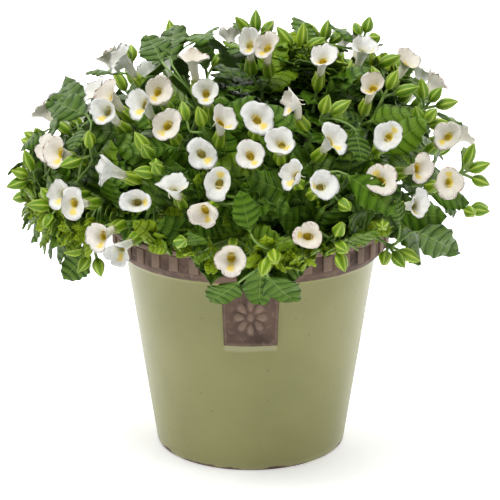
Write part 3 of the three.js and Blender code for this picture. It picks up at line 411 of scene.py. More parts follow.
def room_in(plant, points):
    """How far points are inside a plant's own share of the dome. Below zero is outside."""
    points = np.atleast_2d(points)
    radius = np.hypot(points[:, 0], points[:, 1])
    if plant == MIDDLE_PLANT:
        return cone_radius(points[:, 2]) - radius - PLANT_GAP / 2
    off = (np.degrees(np.arctan2(points[:, 0], -points[:, 1])) - plant * RING_STEP + 180) % 360 - 180
    from_side = radius * np.sin(np.radians(RING_STEP / 2 - np.abs(off)))
    return np.minimum(from_side, radius - cone_radius(points[:, 2])) - PLANT_GAP / 2


def plant_at(point):
    if math.hypot(point[0], point[1]) < cone_radius(point[2]):
        return MIDDLE_PLANT
    return int((math.degrees(math.atan2(point[0], -point[1])) + 360) / RING_STEP + 0.5) % 8


def room_over_pot(points):
    """How far points are outside the pot and above the compost."""
    radius, z = np.hypot(points[:, 0], points[:, 1]), points[:, 2]
    wall = np.where(z > POT["glaze_top"], POT["lip"], glaze_radius(z) + SEAL["proud"] + 3)
    inner = POT["band"] - POT["wall"]
    beside = np.where(radius > inner - 4, radius - wall, np.minimum(inner - radius, z - SOIL_TOP))
    return np.where(z > POT["height"], z - POT["height"], beside)


# The rim band is kept in sight to the left and right of these x, along lines of sight that drop by
# this slope. Points under the low height don't count.
SIGHT = {"left": -40, "right": 46, "slope": 0.276, "low": 90}


def hides_band(points):
    """Whether any point hangs before the rim band, which stays in sight on both sides of the seal."""
    x, y, z = np.atleast_2d(points).T
    ahead = -y - np.sqrt(np.maximum(POT["lip"] ** 2 - x ** 2, 0))
    beside = (np.abs(x) < POT["lip"] - 4) & ((x < SIGHT["left"]) | (x > SIGHT["right"]))
    before = (z - SIGHT["slope"] * ahead < POT["lip_low"]) & (z > SIGHT["low"])
    return bool((beside & (ahead > 0) & before).any())


def make_bloom(mouth, facing, lip_turn, index):
    lip = turned(perpendicular(facing, -UP), facing, -math.radians(lip_turn))
    size = 0.94 + 0.13 * draw(index, 1)
    return {"index": index, "mouth": mouth, "facing": facing, "lip": lip, "size": size}


def rim_box(bloom):
    """The box of the CAD bloom: its foot, its neck and the edge of its petals."""
    corners = []
    end = bloom["mouth"] - bloom["tube"] * TUBE * bloom["size"]
    edge = [(1.3 * (draw(bloom["index"], k, 3) - 0.5) + (-1.2 if k % 3 == 2 else 0.4), BLOOM_RADIUS * share)
            for k, share in enumerate(LIMB)]
    for centre, axis, ring in ((end, bloom["tube"], [(0, 2.6)] * 4), (bloom["mouth"], bloom["facing"], edge)):
        across = perpendicular(axis, bloom["lip"])
        beside = np.cross(axis, across)
        for k, (along, out) in enumerate(ring):
            turn = k / len(ring) * 2 * math.pi
            around = across * math.cos(turn) + beside * math.sin(turn)
            corners.append(centre + (axis * along + around * out) * bloom["size"])
    return np.array(corners)


def slide_together(blooms, node):
    """The later blooms of a head slide up to the first until they fill the CAD head's box."""
    low, high = (np.array(corner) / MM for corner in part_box(node))
    places = [bloom["mouth"] for bloom in blooms]
    ways = [unit(places[0] - place) if k else UP for k, place in enumerate(places)]

    def misfit(steps):
        for bloom, place, way, step in zip(blooms, places, ways, steps):
            bloom["mouth"] = place + way * 0.5 * step
        corners = np.vstack([rim_box(bloom) for bloom in blooms])
        return np.abs(corners.min(0) - low).sum() + np.abs(corners.max(0) - high).sum()

    choices = [(0, a, b)[: len(blooms)] for a in range(40) for b in range(40 if len(blooms) > 2 else 1)]
    misfit(min(choices, key=misfit))


heads, count = [], 0
for number in range(len(FRONT_HEADS) + len(BACK_PAIRS)):
    if number < len(FRONT_HEADS):
        blooms = [make_bloom(dome_point(b, r), heading(fb, fr), lip, count + i)
                  for i, (b, r, fb, fr, lip) in enumerate(FRONT_HEADS[number])]
    else:
        bearing, rise = BACK_PAIRS[number - len(FRONT_HEADS)]
        middle = dome_point(bearing, rise)
        normal = dome_normal(middle)
        across = turned(unit(np.cross(UP, normal)), normal, (draw(number, 5) - 0.5) * 0.9)
        blooms = [make_bloom(middle + across * side * 12,
                             unit(normal + across * side * math.tan(math.radians(8)) + UP * 0.2),
                             60 * (draw(number, i, 6) - 0.5), count + i) for i, side in enumerate((-1, 1))]
    mean = sum(bloom["facing"] * 0.2 + dome_normal(bloom["mouth"]) * 0.6 for bloom in blooms) / len(blooms)
    for bloom in blooms:
        bloom["tube"] = unit(mean + bloom["facing"] * 0.2)
    if len(blooms) > 1:
        slide_together(blooms, f"bloom_{number}")
    heads.append(blooms)
    count += len(blooms)
all_blooms = [bloom for head in heads for bloom in head]
MOUTHS, FACINGS, TUBES, SIZES = (np.array([bloom[key] for bloom in all_blooms])
                                 for key in ("mouth", "facing", "tube", "size"))


def calyx_foot(bloom):
    return bloom["mouth"] - bloom["tube"] * (TUBE * bloom["size"] + CALYX_LENGTH)


def depth_in_blooms(points, air, calyx):
    """How deep points are in a bloom, its calyx, and a depth of open air before it."""
    away = np.atleast_2d(points)[:, None, :] - MOUTHS[None]
    ahead = (away * FACINGS).sum(-1)
    off = np.linalg.norm(away - ahead[..., None] * FACINGS, axis=-1)
    up = (away * TUBES).sum(-1)
    out = np.linalg.norm(away - up[..., None] * TUBES, axis=-1)
    foot = TUBE * SIZES + (CALYX_LENGTH if calyx else 0)
    wall = CALYX_RADIUS if calyx else TUBE_RADIUS
    beside = np.where((up < 0) & (up > -foot - 2), wall + 3 - out, -99)
    limb = BLOOM_RADIUS * SIZES
    before = np.where((ahead > 3) & (ahead < air), limb - 3 - off, beside)
    return np.where((ahead <= 3) & (ahead > -7), limb + 3 - off, before).max(1)


def bloom_shoot(blooms):
    axis = unit(sum(bloom["tube"] for bloom in blooms) + UP * 0.15 * len(blooms))
    feet = [calyx_foot(bloom) for bloom in blooms]
    tip = sum(feet) / len(feet) - axis * (12 if len(blooms) > 1 else PEDICEL)
    across = perpendicular(axis, feet[1] - feet[0] if len(blooms) > 1 else UP)
    return {"tip": tip, "axis": axis, "across": across, "blooms": blooms, "buds": [], "pairs": BLOOM_PAIRS}


def bud_shoot(place, number):
    tip = dome_point(*place)
    normal = dome_normal(tip)
    tip = tip - normal * 20
    axis = unit(normal + UP * 0.15)
    across = turned(perpendicular(axis, UP), axis, math.pi * draw(number, 4))
    buds = []
    for k, side in enumerate((0, 1, -1)):
        length = BUD_LENGTH * (0.8 + 0.3 * draw(number, k, 3))
        for more in (0, 10, -10) if side == 0 else (0, 10, 20, -6):
            lean = math.radians(more if side == 0 else side * (46 + more))
            out = axis * math.cos(lean) + across * math.sin(lean)
            foot = tip + out * (PEDICEL if side == 0 else PEDICEL + 2)
            line = np.array([foot + out * share * length for share in (0.2, 0.5, 0.75, 1)])
            if (depth_in_blooms(line, 8, True) < -2.5).all():
                buds.append({"foot": foot, "axis": out, "length": length})
                break
    return {"tip": tip, "axis": axis, "across": across, "blooms": [], "buds": buds, "pairs": BUD_PAIRS}


class Curve:
    """A cubic curve of four points, read by its share of the length."""

    def __init__(self, *points):
        t = np.linspace(0, 1, 201)[:, None]
        a, b, c, d = points
        self.line = a * (1 - t) ** 3 + b * 3 * t * (1 - t) ** 2 + c * 3 * t * t * (1 - t) + d * t ** 3
        steps = np.linalg.norm(np.diff(self.line, axis=0), axis=1)
        self.run = np.concatenate([[0], np.cumsum(steps)])
        self.length = self.run[-1]

    def at(self, share):
        return np.array([np.interp(share * self.length, self.run, self.line[:, k]) for k in range(3)])

    def tangent(self, share):
        return unit(self.at(min(share + 0.01, 1)) - self.at(max(share - 0.01, 0)))


BENDS = [(shift, rise) for rise in (0, 10, -10, 20, -20) for shift in (0, 9, -9, 18, -18, 27, -27)]


def stem_curve(shoot, bend):
    parent = shoot["parent"]
    turn = shoot["tip"] - shoot["axis"] * (24 if parent else 46)
    turn[2] = max(turn[2], POT["height"] + 12)
    foot = parent["spot"] if parent else crown_foot(shoot["plant"])
    rise = 31.2 if shoot["plant"] == MIDDLE_PLANT else 78
    lift = foot + (unit(parent["out"]) * 12 if parent else UP * rise) + bend * 1.1
    return Curve(foot, lift, turn + bend * (0.15 if len(shoot["blooms"]) > 1 else 0.5), shoot["tip"])


def lay_stem(shoot, others):
    """Bends a stem aside so that it passes clear of petals and of the plant's other stems."""
    side = unit(np.cross(shoot["axis"], UP))
    away = np.cross(side, shoot["axis"])
    taken = np.array([point for other in others for point in other["curve"].line[20::5]]).reshape(-1, 3)
    curves, costs = [], []
    for shift, rise in BENDS:
        curve = stem_curve(shoot, side * shift + away * rise)
        line = curve.line[20::5]
        blocked = (room_in(shoot["plant"], line) < 2.4) | (depth_in_blooms(line, 5, False) >= 0)
        crowd = np.zeros(len(line))
        if len(taken):
            gaps = np.linalg.norm(line[:, None] - taken[None], axis=-1)
            crowd = (np.maximum(STEM_CROWD - gaps, 0) ** 3).sum(1)
        curves.append(curve)
        costs.append(np.where(blocked, STEM_CROWD ** 3, crowd).sum())
    shoot["curve"] = curves[int(np.argmin(costs))]
    shoot["axis"] = shoot["curve"].tangent(1)
    shoot["foot_radius"] = BRANCH_FOOT if shoot["parent"] else STEM_FOOT
    length = shoot["curve"].length
    shoot["nodes"] = [pair[0] for pair in shoot["pairs"] if pair[0] + 15 < length]
    shoot["fork"] = None if shoot["parent"] else max(0.5 * length, shoot["pairs"][1][0] + 14)


def node_faces(shoot, below):
    """The four faces of the node at this distance below a shoot's tip, and the way that each looks."""
    curve, across = shoot["curve"], shoot["across"]
    for station in sorted({0, 4, *(n for pair in shoot["nodes"] for n in (pair, pair + 4)), below}):
        axis = curve.tangent(max(1 - station / curve.length, 0))
        across = perpendicular(axis, across)
        if station == below:
            break
    share = max(1 - (below + 2) / curve.length, 0)
    thick = shoot["foot_radius"]
    radius = (thick + (STEM_TIP - thick) * share) * math.cos(math.pi / 4)
    faces = []
    for k in range(4):
        out = turned(across, axis, k * math.pi / 2)
        faces.append({"k": k, "spot": curve.at(share) + out * radius, "out": out, "axis": axis})
    return faces


def find_parent(shoot, earlier):
    """The free fork face of an earlier stem that a shoot branches off most easily, or None."""
    best = None
    for other in earlier:
        if other["parent"] or np.linalg.norm(other["tip"] - shoot["tip"]) >= BRANCH_NEAR:
            continue
        for face in node_faces(other, other["fork"]):
            if face["k"] in other["taken"]:
                continue
            way = shoot["tip"] - face["spot"]
            turn = math.degrees(math.acos(np.clip(np.dot(unit(way), face["out"]), -1, 1)))
            cost = np.linalg.norm(way) * (1 + turn / 60)
            if turn < BRANCH_TURN and (best is None or cost < best["cost"]):
                best = {**face, "other": other, "cost": cost, "out": face["out"] * 1.6 + face["axis"]}
    return best


shoots = [bloom_shoot(head) for head in heads] + [bud_shoot(place, i) for i, place in enumerate(BUD_SHOOTS)]
for number, shoot in enumerate(shoots):
    shoot.update(number=number, plant=plant_at(shoot["tip"]), taken=[])
    earlier = [other for other in shoots[:number] if other["plant"] == shoot["plant"]]
    shoot["parent"] = find_parent(shoot, earlier)
    lay_stem(shoot, earlier)
    if shoot["parent"]:
        shoot["parent"]["other"]["taken"].append(shoot["parent"]["k"])


# The leaves are opposite, in pairs that cross: oval, coarsely toothed and quilted between sunken veins, with
# painted shade along the veins and a painted sheen on the crests between them.
# A blade droops towards its tip and sags to both sides of its rib. A twig is a short side shoot.
WIDTH, PETIOLE, DROOP = 0.66, 9, 0.2
SWINGS = [(swing, extra) for extra in (0, 20, -8) for swing in (0, 18, -18, 36, -36)]
PROBES = [(0, 0), (1, 0)] + [(along, across * min(1, 1.5 - along)) for along in (0.25, 0.5, 0.75)
                             for across in (-1, -0.5, 0, 0.5, 1)]
MIDDLE_PROBE = PROBES.index((0.5, 0))


def make_leaf(spot, out, axis, opening, length, swing=0.0, age=0.0):
    out = turned(out, axis, math.radians(swing))
    way = axis * math.cos(opening) + out * math.sin(opening)
    normal = perpendicular(way, dome_normal(spot) + axis * 0.5 + UP * 0.3)
    tone = age + (0.45 - 0.1 * age) * draw(length, spot[0])
    sag = 0.34 * draw(length, spot[1]) - 0.08
    return {"root": spot, "dir": way, "normal": normal, "side": np.cross(normal, way), "length": length,
            "petiole": PETIOLE, "droop": DROOP, "sag": sag, "width": WIDTH, "tone": tone}


def blade_points(leaf, along, across, lift=0.0):
    """Points on a blade, at shares of its length and of its half width."""
    length = leaf["length"]
    y = across * length * leaf["width"] / 2
    z = -leaf["droop"] * length * along ** 2 - leaf["sag"] * np.abs(y) + lift
    ahead = leaf["petiole"] + along * length
    points = leaf["root"] + leaf["dir"] * ahead[:, None]
    return points + leaf["side"] * y[:, None] + leaf["normal"] * z[:, None]


def probes(leaf):
    return blade_points(leaf, *np.array(PROBES).T)


def inside_box(points):
    return bool((points > LOW + 1).all() and (points < HIGH - 1).all())


def leaf_fits(leaf, plant=None, air=24):
    points = probes(leaf)
    if plant is not None and (room_in(plant, points) <= 0).any():
        return False
    if hides_band(points) or not inside_box(points):
        return False
    return (room_over_pot(points) > 2).all() and (depth_in_blooms(points, air, True) < 0).all()


leaves = {plant: [] for plant in range(9)}
leaf_middles = []


def keep_leaf(leaf, plant):
    leaves[plant].append(leaf)
    leaf_middles.append(probes(leaf)[MIDDLE_PROBE])


for shoot in shoots:
    for pair, below in enumerate(shoot["nodes"]):
        _, length, opening = shoot["pairs"][pair]
        for face in node_faces(shoot, below):
            k = face["k"]
            if k % 2 == pair % 2:
                continue
            for swing, extra in SWINGS:
                if pair == 0 and abs(swing) >= 20:
                    continue
                opened = math.radians(opening + 14 * (draw(shoot["number"], pair, k, 8) - 0.5) + extra)
                size = length * (0.86 + 0.26 * draw(shoot["number"], pair, k, 9))
                age = (0.22, 0.0)[pair]
                leaf = make_leaf(face["spot"], face["out"], face["axis"], opened, size, swing, age)
                if leaf_fits(leaf, shoot["plant"]):
                    keep_leaf(leaf, shoot["plant"])
                    break

# Twigs fill the dome between the planned shoots. Each grows from a stem nearby, and bears crossed
# pairs of leaves, smaller towards its tip, or a cluster of buds. A golden spiral spreads the tips.
LEAF_TWIGS, BUD_TWIGS = 560, 36
GOLDEN_TURN, GOLDEN_SHARE = 137.508, 0.618034
TWIG_FOOT, TWIG_TIP = 1.0, 0.8
# Each pair of leaves: how far below the twig's tip, blade length and degrees from the twig. Then each
# pair's stalk, its gap to other leaves, and how young and pale it is.
LEAF_TWIG_PAIRS = [(0, 11, 24), (2, 19, 42), (8, 30, 62), (17, 39, 76)]
BUD_TWIG_PAIRS = [(3, 19, 50), (9, 30, 66)]
TWIG_STALKS, TWIG_GAPS, TWIG_AGES = (1.5, 3, 6, 7), (2, 4, 8, 9), (0.8, 0.55, 0.22, 0.0)
SEEN_BUDS = [(57, 33, 1), (95, 63, 1.08), (-18, -5, 1), (-22, 22, 1), (27, 22, 1), (20, 15, 1), (-54, 4, 1),
             (-46, 25, 1), (-4, 14, 1), (-18, 38, 1), (26, -14, 1), (-70, 10, 1), (66, -2, 1), (32, 5, 1)]
# Leaves that stand out of the dome or hang over the rim: bearing and rise of the base, then of the tip.
SEEN_LEAVES = [
    (40, -1, 63, -24), (93, 62, 101, 70), (89, 61, 87, 58), (51, 6, 67, 5), (2, -16, 3, -49),
    (-3, -29, -12, -44), (4, -23, 14, -46), (-4, 1, -15, -3), (-52, 18, -67, 3), (-38, 8, -39, -5),
    (-43, 62, -94, 72), (-45, 60, -77, 65), (-53, 36, -76, 34), (-57, 34, -85, 41), (-52, 32, -47, 24),
    (35, 3, 33, 11), (-69, 27, -72, 18), (-72, 73, -27, 69), (29, 34, 26, 24), (23, 21, 32, 8),
    (0, 4, -2, 16),
]
SEEN_LEAF = {"depth": 7, "petiole": 2, "droop": 0.14, "sag": 0.1, "widest": 25}
UPPER = slice(70, 200, 6)  # the points of a stem's line that twigs can grow from
stem_points = np.vstack([shoot["curve"].line[UPPER] for shoot in shoots])
stem_plants = np.repeat([shoot["plant"] for shoot in shoots], len(shoots[0]["curve"].line[UPPER]))
stem_ways = np.vstack([np.gradient(shoot["curve"].line, axis=0)[UPPER] for shoot in shoots])
stem_ways /= np.linalg.norm(stem_ways, axis=1)[:, None]
twigs = {plant: [] for plant in range(9)}
buds = {plant: [] for plant in range(9)}


def grow_twig(tip, axis):
    """Grows a twig to its tip from an easy stem point, clear of blooms. Gives its plant, or None."""
    way = tip - stem_points
    far = np.linalg.norm(way, axis=1)
    turn = 1 - (way * axis).sum(1) / far
    order = np.argsort(far * (1 + 0.9 * turn) + np.where(far < 10, 60, 0))
    for best in order[:30]:
        foot, reach = stem_points[best], far[best]
        curve = Curve(foot, foot + stem_ways[best] * reach * 0.35, tip - axis * reach * 0.4, tip)
        if (depth_in_blooms(curve.line[::8], 6, False) < -1).all() and inside_box(curve.line):
            plant = int(stem_plants[best])
            twigs[plant].append(curve)
            return plant
    return None


def spare(leaf, gap):
    """Whether a leaf keeps off petals, pot and the leaves that are there."""
    points = probes(leaf)
    close = np.linalg.norm(np.array(leaf_middles) - points[MIDDLE_PROBE], axis=1).min() < gap
    return not close and leaf_fits(leaf, air=10)


def cut_by_leaf(line):
    """Whether a line passes through a leaf's blade."""
    roots, ways, sides, normals, sizes = leaf_frames
    away = line[:, None] - roots
    ahead = (away * ways).sum(-1) / sizes
    beside = np.abs((away * sides).sum(-1)) / sizes
    above = (away * normals).sum(-1) / sizes + DROOP * ahead ** 2
    over = (ahead > 0.05) & (ahead < 1.15) & (beside < 0.34)
    return bool(((above[1:] * above[:-1] < 0) & over[1:]).any())


def twig_buds(tip, axis, number, plant, room):
    """A cluster of up to three buds at a twig's tip, each where it is clear."""
    across = turned(perpendicular(axis, UP), axis, math.pi * draw(number, 4))
    for k, side in enumerate((0, 1, -1)):
        length = BUD_LENGTH * (0.6 + 0.36 * draw(number, k, 3))
        lean = math.radians(side * (34 + 26 * draw(number, k, 5)) + 14 * (draw(number, k, 7) - 0.5))
        out = axis * math.cos(lean) + across * math.sin(lean)
        foot = tip + out * PEDICEL
        line = np.array([foot + out * share * length for share in (0.0, 0.3, 0.6, 1)])
        clear = (depth_in_blooms(line, 10, True) < room).all() and not hides_band(line)
        if clear and inside_box(line) and (room_over_pot(line) > 4).all() and not cut_by_leaf(line):
            buds[plant].append({"foot": foot, "axis": out, "length": length, "tip": tip})


for number, (b, r, tip_b, tip_r) in enumerate(SEEN_LEAVES):
    base = dome_point(b, r) - dome_normal(dome_point(b, r)) * SEEN_LEAF["depth"]
    tip = np.clip(dome_point(tip_b, tip_r), LOW + 1, HIGH - 1)
    chord = tip - base
    normal = perpendicular(unit(chord), dome_normal((tip + base) / 2) + UP * 0.3 + heading(0, 0) * 0.2)
    length = np.linalg.norm(chord)
    way = unit(unit(chord) + normal * 0.14)
    leaf = {**SEEN_LEAF, "root": base, "dir": way, "normal": perpendicular(way, normal), "length": length}
    leaf["side"] = np.cross(leaf["normal"], way)
    leaf["width"] = min(WIDTH, SEEN_LEAF["widest"] / length)
    leaf["tone"] = 0.1 + 0.35 * draw(number, 31)
    reached = probes(leaf)
    inwards = np.maximum(LOW + 2 - reached.min(0), 0) - np.maximum(reached.max(0) - HIGH + 2, 0)
    leaf["root"] = base + inwards
    plant = grow_twig(leaf["root"], way)
    if plant is not None:
        keep_leaf(leaf, plant)

bud_twigs = []
for number in range(LEAF_TWIGS + BUD_TWIGS):
    rise = math.degrees(math.asin(min(0.995, -0.52 + 1.52 * ((number * GOLDEN_SHARE) % 1))))
    place = dome_point((number * GOLDEN_TURN + 40) % 360, rise)
    normal = dome_normal(place)
    shallow, spread = (16, 20) if number % 3 else (36, 50)
    tip = place - normal * (shallow + spread * draw(number, 41))
    axis = unit(normal + UP * 0.2 + 0.25 * (heading(360 * draw(number, 42), 0)))
    if depth_in_blooms(tip[None], 20, True)[0] > -3 or room_over_pot(tip[None])[0] < 8:
        continue
    across = turned(perpendicular(axis, UP), axis, math.pi * draw(number, 43))
    kept = []
    pairs = LEAF_TWIG_PAIRS if number < LEAF_TWIGS else BUD_TWIG_PAIRS
    for pair, (below, length, opening) in enumerate(pairs):
        for side in (0, 1):
            out = turned(across, axis, math.pi * side + pair * math.pi / 2)
            size = length * (0.85 + 0.3 * draw(number, pair, side, 44))
            spot, opened = tip - axis * below, math.radians(opening)
            leaf = make_leaf(spot, out, axis, opened, size, age=TWIG_AGES[pair])
            leaf["petiole"] = TWIG_STALKS[pair]
            if spare(leaf, TWIG_GAPS[pair]):
                kept.append(leaf)
    if not kept and number < LEAF_TWIGS:
        continue
    plant = grow_twig(tip, axis)
    if plant is None:
        continue
    for leaf in kept:
        keep_leaf(leaf, plant)
    if number >= LEAF_TWIGS:
        bud_twigs.append((tip, axis, 700 + number, plant, -2.0))
for number, (b, r, reach) in enumerate(SEEN_BUDS):
    place = dome_point(b, r, reach)
    tip = place - dome_normal(place) * 15
    axis = unit(dome_normal(place) + UP * 0.1)
    plant = grow_twig(tip, axis)
    if plant is not None:
        bud_twigs.append((tip, axis, 500 + number, plant, 0.0))
grown = [leaf for made in leaves.values() for leaf in made]
leaf_frames = [np.array([leaf[key] for leaf in grown]) for key in ("root", "dir", "side", "normal", "length")]
for twig in bud_twigs:
    twig_buds(*twig)


def shape_of(bm):
    """The corners and faces of a small shape, to be bent into many places."""
    bmesh.ops.recalc_face_normals(bm, faces=bm.faces[:])
    bm.verts.index_update()
    shape = {"at": np.array([vert.co[:] for vert in bm.verts]),
             "faces": [[vert.index for vert in face.verts] for face in bm.faces]}
    bm.free()
    return shape


def lathe_shape(around, rings):
    """A closed tube to be bent: x and y go once round, and z counts the rings from 0."""
    bm = bmesh.new()
    line = [bm.verts.new((0, 0, -1)), *[bm.verts.new((1, 0, ring)) for ring in range(rings)],
            bm.verts.new((0, 0, rings))]
    edges = [bm.edges.new(pair) for pair in zip(line, line[1:])]
    bmesh.ops.spin(bm, geom=[*line, *edges], axis=(0, 0, 1), cent=(0, 0, 0), steps=around,
                   angle=2 * math.pi, use_merge=True)
    bmesh.ops.remove_doubles(bm, verts=bm.verts[:], dist=0.001)
    return {**shape_of(bm), "rings": rings}


class Gathered:
    """Many bent copies of small shapes, gathered into one piece."""

    def __init__(self):
        self.points, self.facts, self.tones = [], [], []
        self.faces, self.slots, self.flat = [], [], []
        self.count = 0

    def add(self, shape, points, facts, tone, slot, flat=()):
        self.points.append(points)
        self.facts.append(facts)
        self.tones.append(np.full(len(points), tone) if np.isscalar(tone) else tone)
        self.faces += [[corner + self.count for corner in face] for face in shape["faces"]]
        self.slots += [slot] * len(shape["faces"])
        self.flat += list(flat) if len(flat) else [False] * len(shape["faces"])
        self.count += len(points)

    def piece(self, name, *materials):
        mesh = bpy.data.meshes.new(name)
        mesh.from_pydata((np.vstack(self.points) * MM).tolist(), [], self.faces)
        for material in materials:
            mesh.materials.append(material)
        mesh.polygons.foreach_set("material_index", self.slots)
        mesh.polygons.foreach_set("use_smooth", [not flat for flat in self.flat])
        place = mesh.attributes.new("place", "FLOAT_VECTOR", "POINT")
        place.data.foreach_set("vector", np.vstack(self.facts).astype(np.float32).ravel())
        tone = mesh.attributes.new("tone", "FLOAT", "POINT")
        tone.data.foreach_set("value", np.concatenate(self.tones).astype(np.float32))
        mesh.update()
        made = bpy.data.objects.new(name, mesh)
        bpy.context.collection.objects.link(made)
        return made


# The blade is a grid of 13 columns: one for the stalk's foot, then its base, and vein and crest by
# turns. Veins slant forwards and end in teeth. Its underside is half a millimetre below at the
# edges, and about twice that at the rib.
BLADE_ALONG = np.array([-1, 0.0, 0.06, 0.15, 0.24, 0.34, 0.43, 0.53, 0.62, 0.72, 0.81, 0.90, 1.0])
BLADE_HALF = np.array([0.07, 0.10, 0.74, 0.80, 1.03, 0.93, 1.02, 0.84, 0.84, 0.62, 0.56, 0.30, 0.01])
bm = bmesh.new()
bmesh.ops.create_grid(bm, x_segments=12, y_segments=4, size=1)
under = bmesh.ops.extrude_face_region(bm, geom=bm.faces[:])["geom"]
bmesh.ops.translate(bm, vec=(0, 0, -1), verts=[v for v in under if isinstance(v, bmesh.types.BMVert)])
blade = shape_of(bm)
blade_column = np.rint((blade["at"][:, 0] + 1) * 6).astype(int)
blade_across = blade["at"][:, 1]
blade_under = blade["at"][:, 2] < -0.5
blade_flat = [bool(blade_under[face].any() and not blade_under[face].all()) for face in blade["faces"]]
blade_vein = (blade_column % 2 == 0) & (blade_column > 1) & (blade_column < 12)
blade_open = (blade_column > 1) & (blade_column < 12)


def add_leaf(gathered, leaf):
    length, tone = leaf["length"], leaf["tone"]
    along = BLADE_ALONG[blade_column].copy()
    stalk = along < 0
    away = np.abs(blade_across)
    along += np.where(blade_open, 0.13 * away * (1 - along), 0.0)
    along += np.where((away > 0.9) & blade_vein, 0.03, 0.0)
    across = blade_across * BLADE_HALF[blade_column]
    wave = np.sin(along * 13 + tone * 40) * away ** 1.5 * length * 0.030 * ~stalk
    wave += np.sin(along * 5 + tone * 70) * blade_across * length * 0.022 * ~stalk
    quilt = np.where(blade_vein, -1.0, 1.0) * np.where(away == 0.5, 0.018, 0.009) * (away > 0) * blade_open
    quilt = (quilt - 0.018 * (away == 0) * blade_open) * length
    thick = np.where(blade_under, -0.55 - 0.6 * (1 - away) ** 3, 0.0)
    shift = np.where(stalk, along * leaf["petiole"] / length, along)
    points = blade_points(leaf, np.maximum(shift, -1.0), across, wave + quilt + thick)
    droop_back = np.where(stalk, leaf["droop"] * length * shift ** 2, 0.0)
    points += leaf["normal"] * droop_back[:, None]
    facts = np.column_stack([blade_across, blade_column / 2, blade_under.astype(float)])
    gathered.add(blade, points, facts, tone, 0, blade_flat)


leaf_material, nodes, feed = new_material("leaf", {"IOR": 1.42, "Specular Tint": (0.80, 0.95, 0.42, 1)})
place = nodes.attribute("place")
tone = nodes.attribute("tone")
spot = nodes.spot()
across, column, under = place.parts()
across = across.math("ABSOLUTE")
on_blade = column.step(0.45, 0.75)
off_vein = ((column + 0.5).math("FRACT") - 0.5).math("ABSOLUTE") * 2.0
vein = off_vein.step(0.26, 0.03) * on_blade
rib = across.step(0.08, 0.02) * on_blade
mottle = nodes.noise(spot, 120.0, 4.0, 0.6)
dark, mid, lime = (0.014, 0.047, 0.001), (0.060, 0.148, 0.003), (0.38, 0.52, 0.012)
green = tone.add("ShaderNodeValToRGB", {"stops": [(0, dark), (0.5, mid), (0.95, lime)]}, {0: tone})
green = (mottle.step(0.35, 0.7) * 0.35).mix(green, (0.016, 0.062, 0.003))
# Painted sheen: the crests between the veins are lightened towards a pale green.
green = (off_vein.step(0.3, 1.0) * on_blade * 0.40).mix(green, (0.15, 0.27, 0.022))
# Painted shade: the sunken veins are darkened.
green = (vein * 0.22).mix(green, (0.012, 0.045, 0.002))
green = (rib * 0.45).mix(green, (0.22, 0.34, 0.05))
green = (under * 0.6).mix(green, (0.12, 0.20, 0.06))
green = (column.step(0.8, 0.5) * 0.7).mix(green, (0.15, 0.27, 0.04))
feed(
    base_color=green,
    roughness=mottle * 0.25 + 0.28,
    normal=nodes.bump(vein * -0.8 - rib * 0.5 + mottle * 0.4, 0.9, 0.0014),
)

stem_material, nodes, feed = new_material("stem", {"Roughness": 0.5})
spot = nodes.spot()
feed(
    base_color=nodes.noise(spot, 60.0).step(0.3, 0.7).mix((0.13, 0.24, 0.04), (0.26, 0.40, 0.09)),
    normal=nodes.bump(nodes.noise(spot, 400.0), 0.2, 0.0005),
)

# Calyces and buds are green lanterns of five winged ribs, which are paler than the green between.
CALYX_RINGS = {"bud": [(0, 1.2), (1.4, 2.8), (4.5, 4.5), (8.5, 5.0), (13, 3.9), (16.6, 2.0), (19, 0.5)],
               "calyx": [(0, 1.3), (1.5, 2.9), (4, 4.6), (7.5, 5.3), (11.5, 4.7), (14.2, 4.0), (15.2, 3.7)]}
lantern = lathe_shape(15, 7)
lantern_turn = np.arctan2(lantern["at"][:, 1], lantern["at"][:, 0])
lantern_ring = np.rint(lantern["at"][:, 2]).astype(int)
calyx_material, nodes, feed = new_material("calyx", {"Roughness": 0.45, "IOR": 1.42})
place = nodes.attribute("place")
tone = nodes.attribute("tone")
rib, height, _ = place.parts()
green = tone.mix((0.16, 0.31, 0.008), (0.31, 0.46, 0.015))
green = (rib.step(0.1, 0.9) * 0.75).mix(green, (0.62, 0.72, 0.15))
green = (rib.step(-0.4, -1.0) * 0.6).mix(green, (0.07, 0.17, 0.004))
green = (height.step(0.85, 1.0) * 0.35).mix(green, (0.36, 0.40, 0.08))
feed(base_color=green, normal=nodes.bump(rib.math("ABSOLUTE"), 0.3, 0.001))


def add_lantern(gathered, kind, foot, axis, across, length, tone):
    """A bud, or a calyx that closes round a bloom's tube."""
    beside = np.cross(axis, across)
    rings = np.array(CALYX_RINGS[kind]) * (length / CALYX_RINGS[kind][-1][0], 1)
    ring = np.clip(lantern_ring, 0, 6)
    wing = np.rint(lantern_turn / (math.pi / 7.5)).astype(int) % 3 == 0
    along, radius = rings[ring, 0], rings[ring, 1]
    pole = (lantern_ring < 0) | (lantern_ring > 6)
    radius = np.where(pole, 0, radius * np.where(wing, 1.0, 0.84 if kind == "bud" else 0.82))
    along = along + np.where(lantern_ring < 0, -0.2, 0)
    if kind == "calyx":
        along += np.where((lantern_ring == 6) & wing, 2.4, 0) - np.where(lantern_ring > 6, 3.0, 0)
    else:
        along += np.where(lantern_ring > 6, 0.5, 0)
    around = np.cos(lantern_turn)[:, None] * across + np.sin(lantern_turn)[:, None] * beside
    points = foot + axis * along[:, None] + around * radius[:, None]
    facts = np.column_stack([np.where(wing, 1.0, -1.0), along / length, np.zeros(len(along))])
    gathered.add(lantern, points, facts, tone, 2)


stem_tube = lathe_shape(8, 14)
twig_tube = lathe_shape(5, 7)


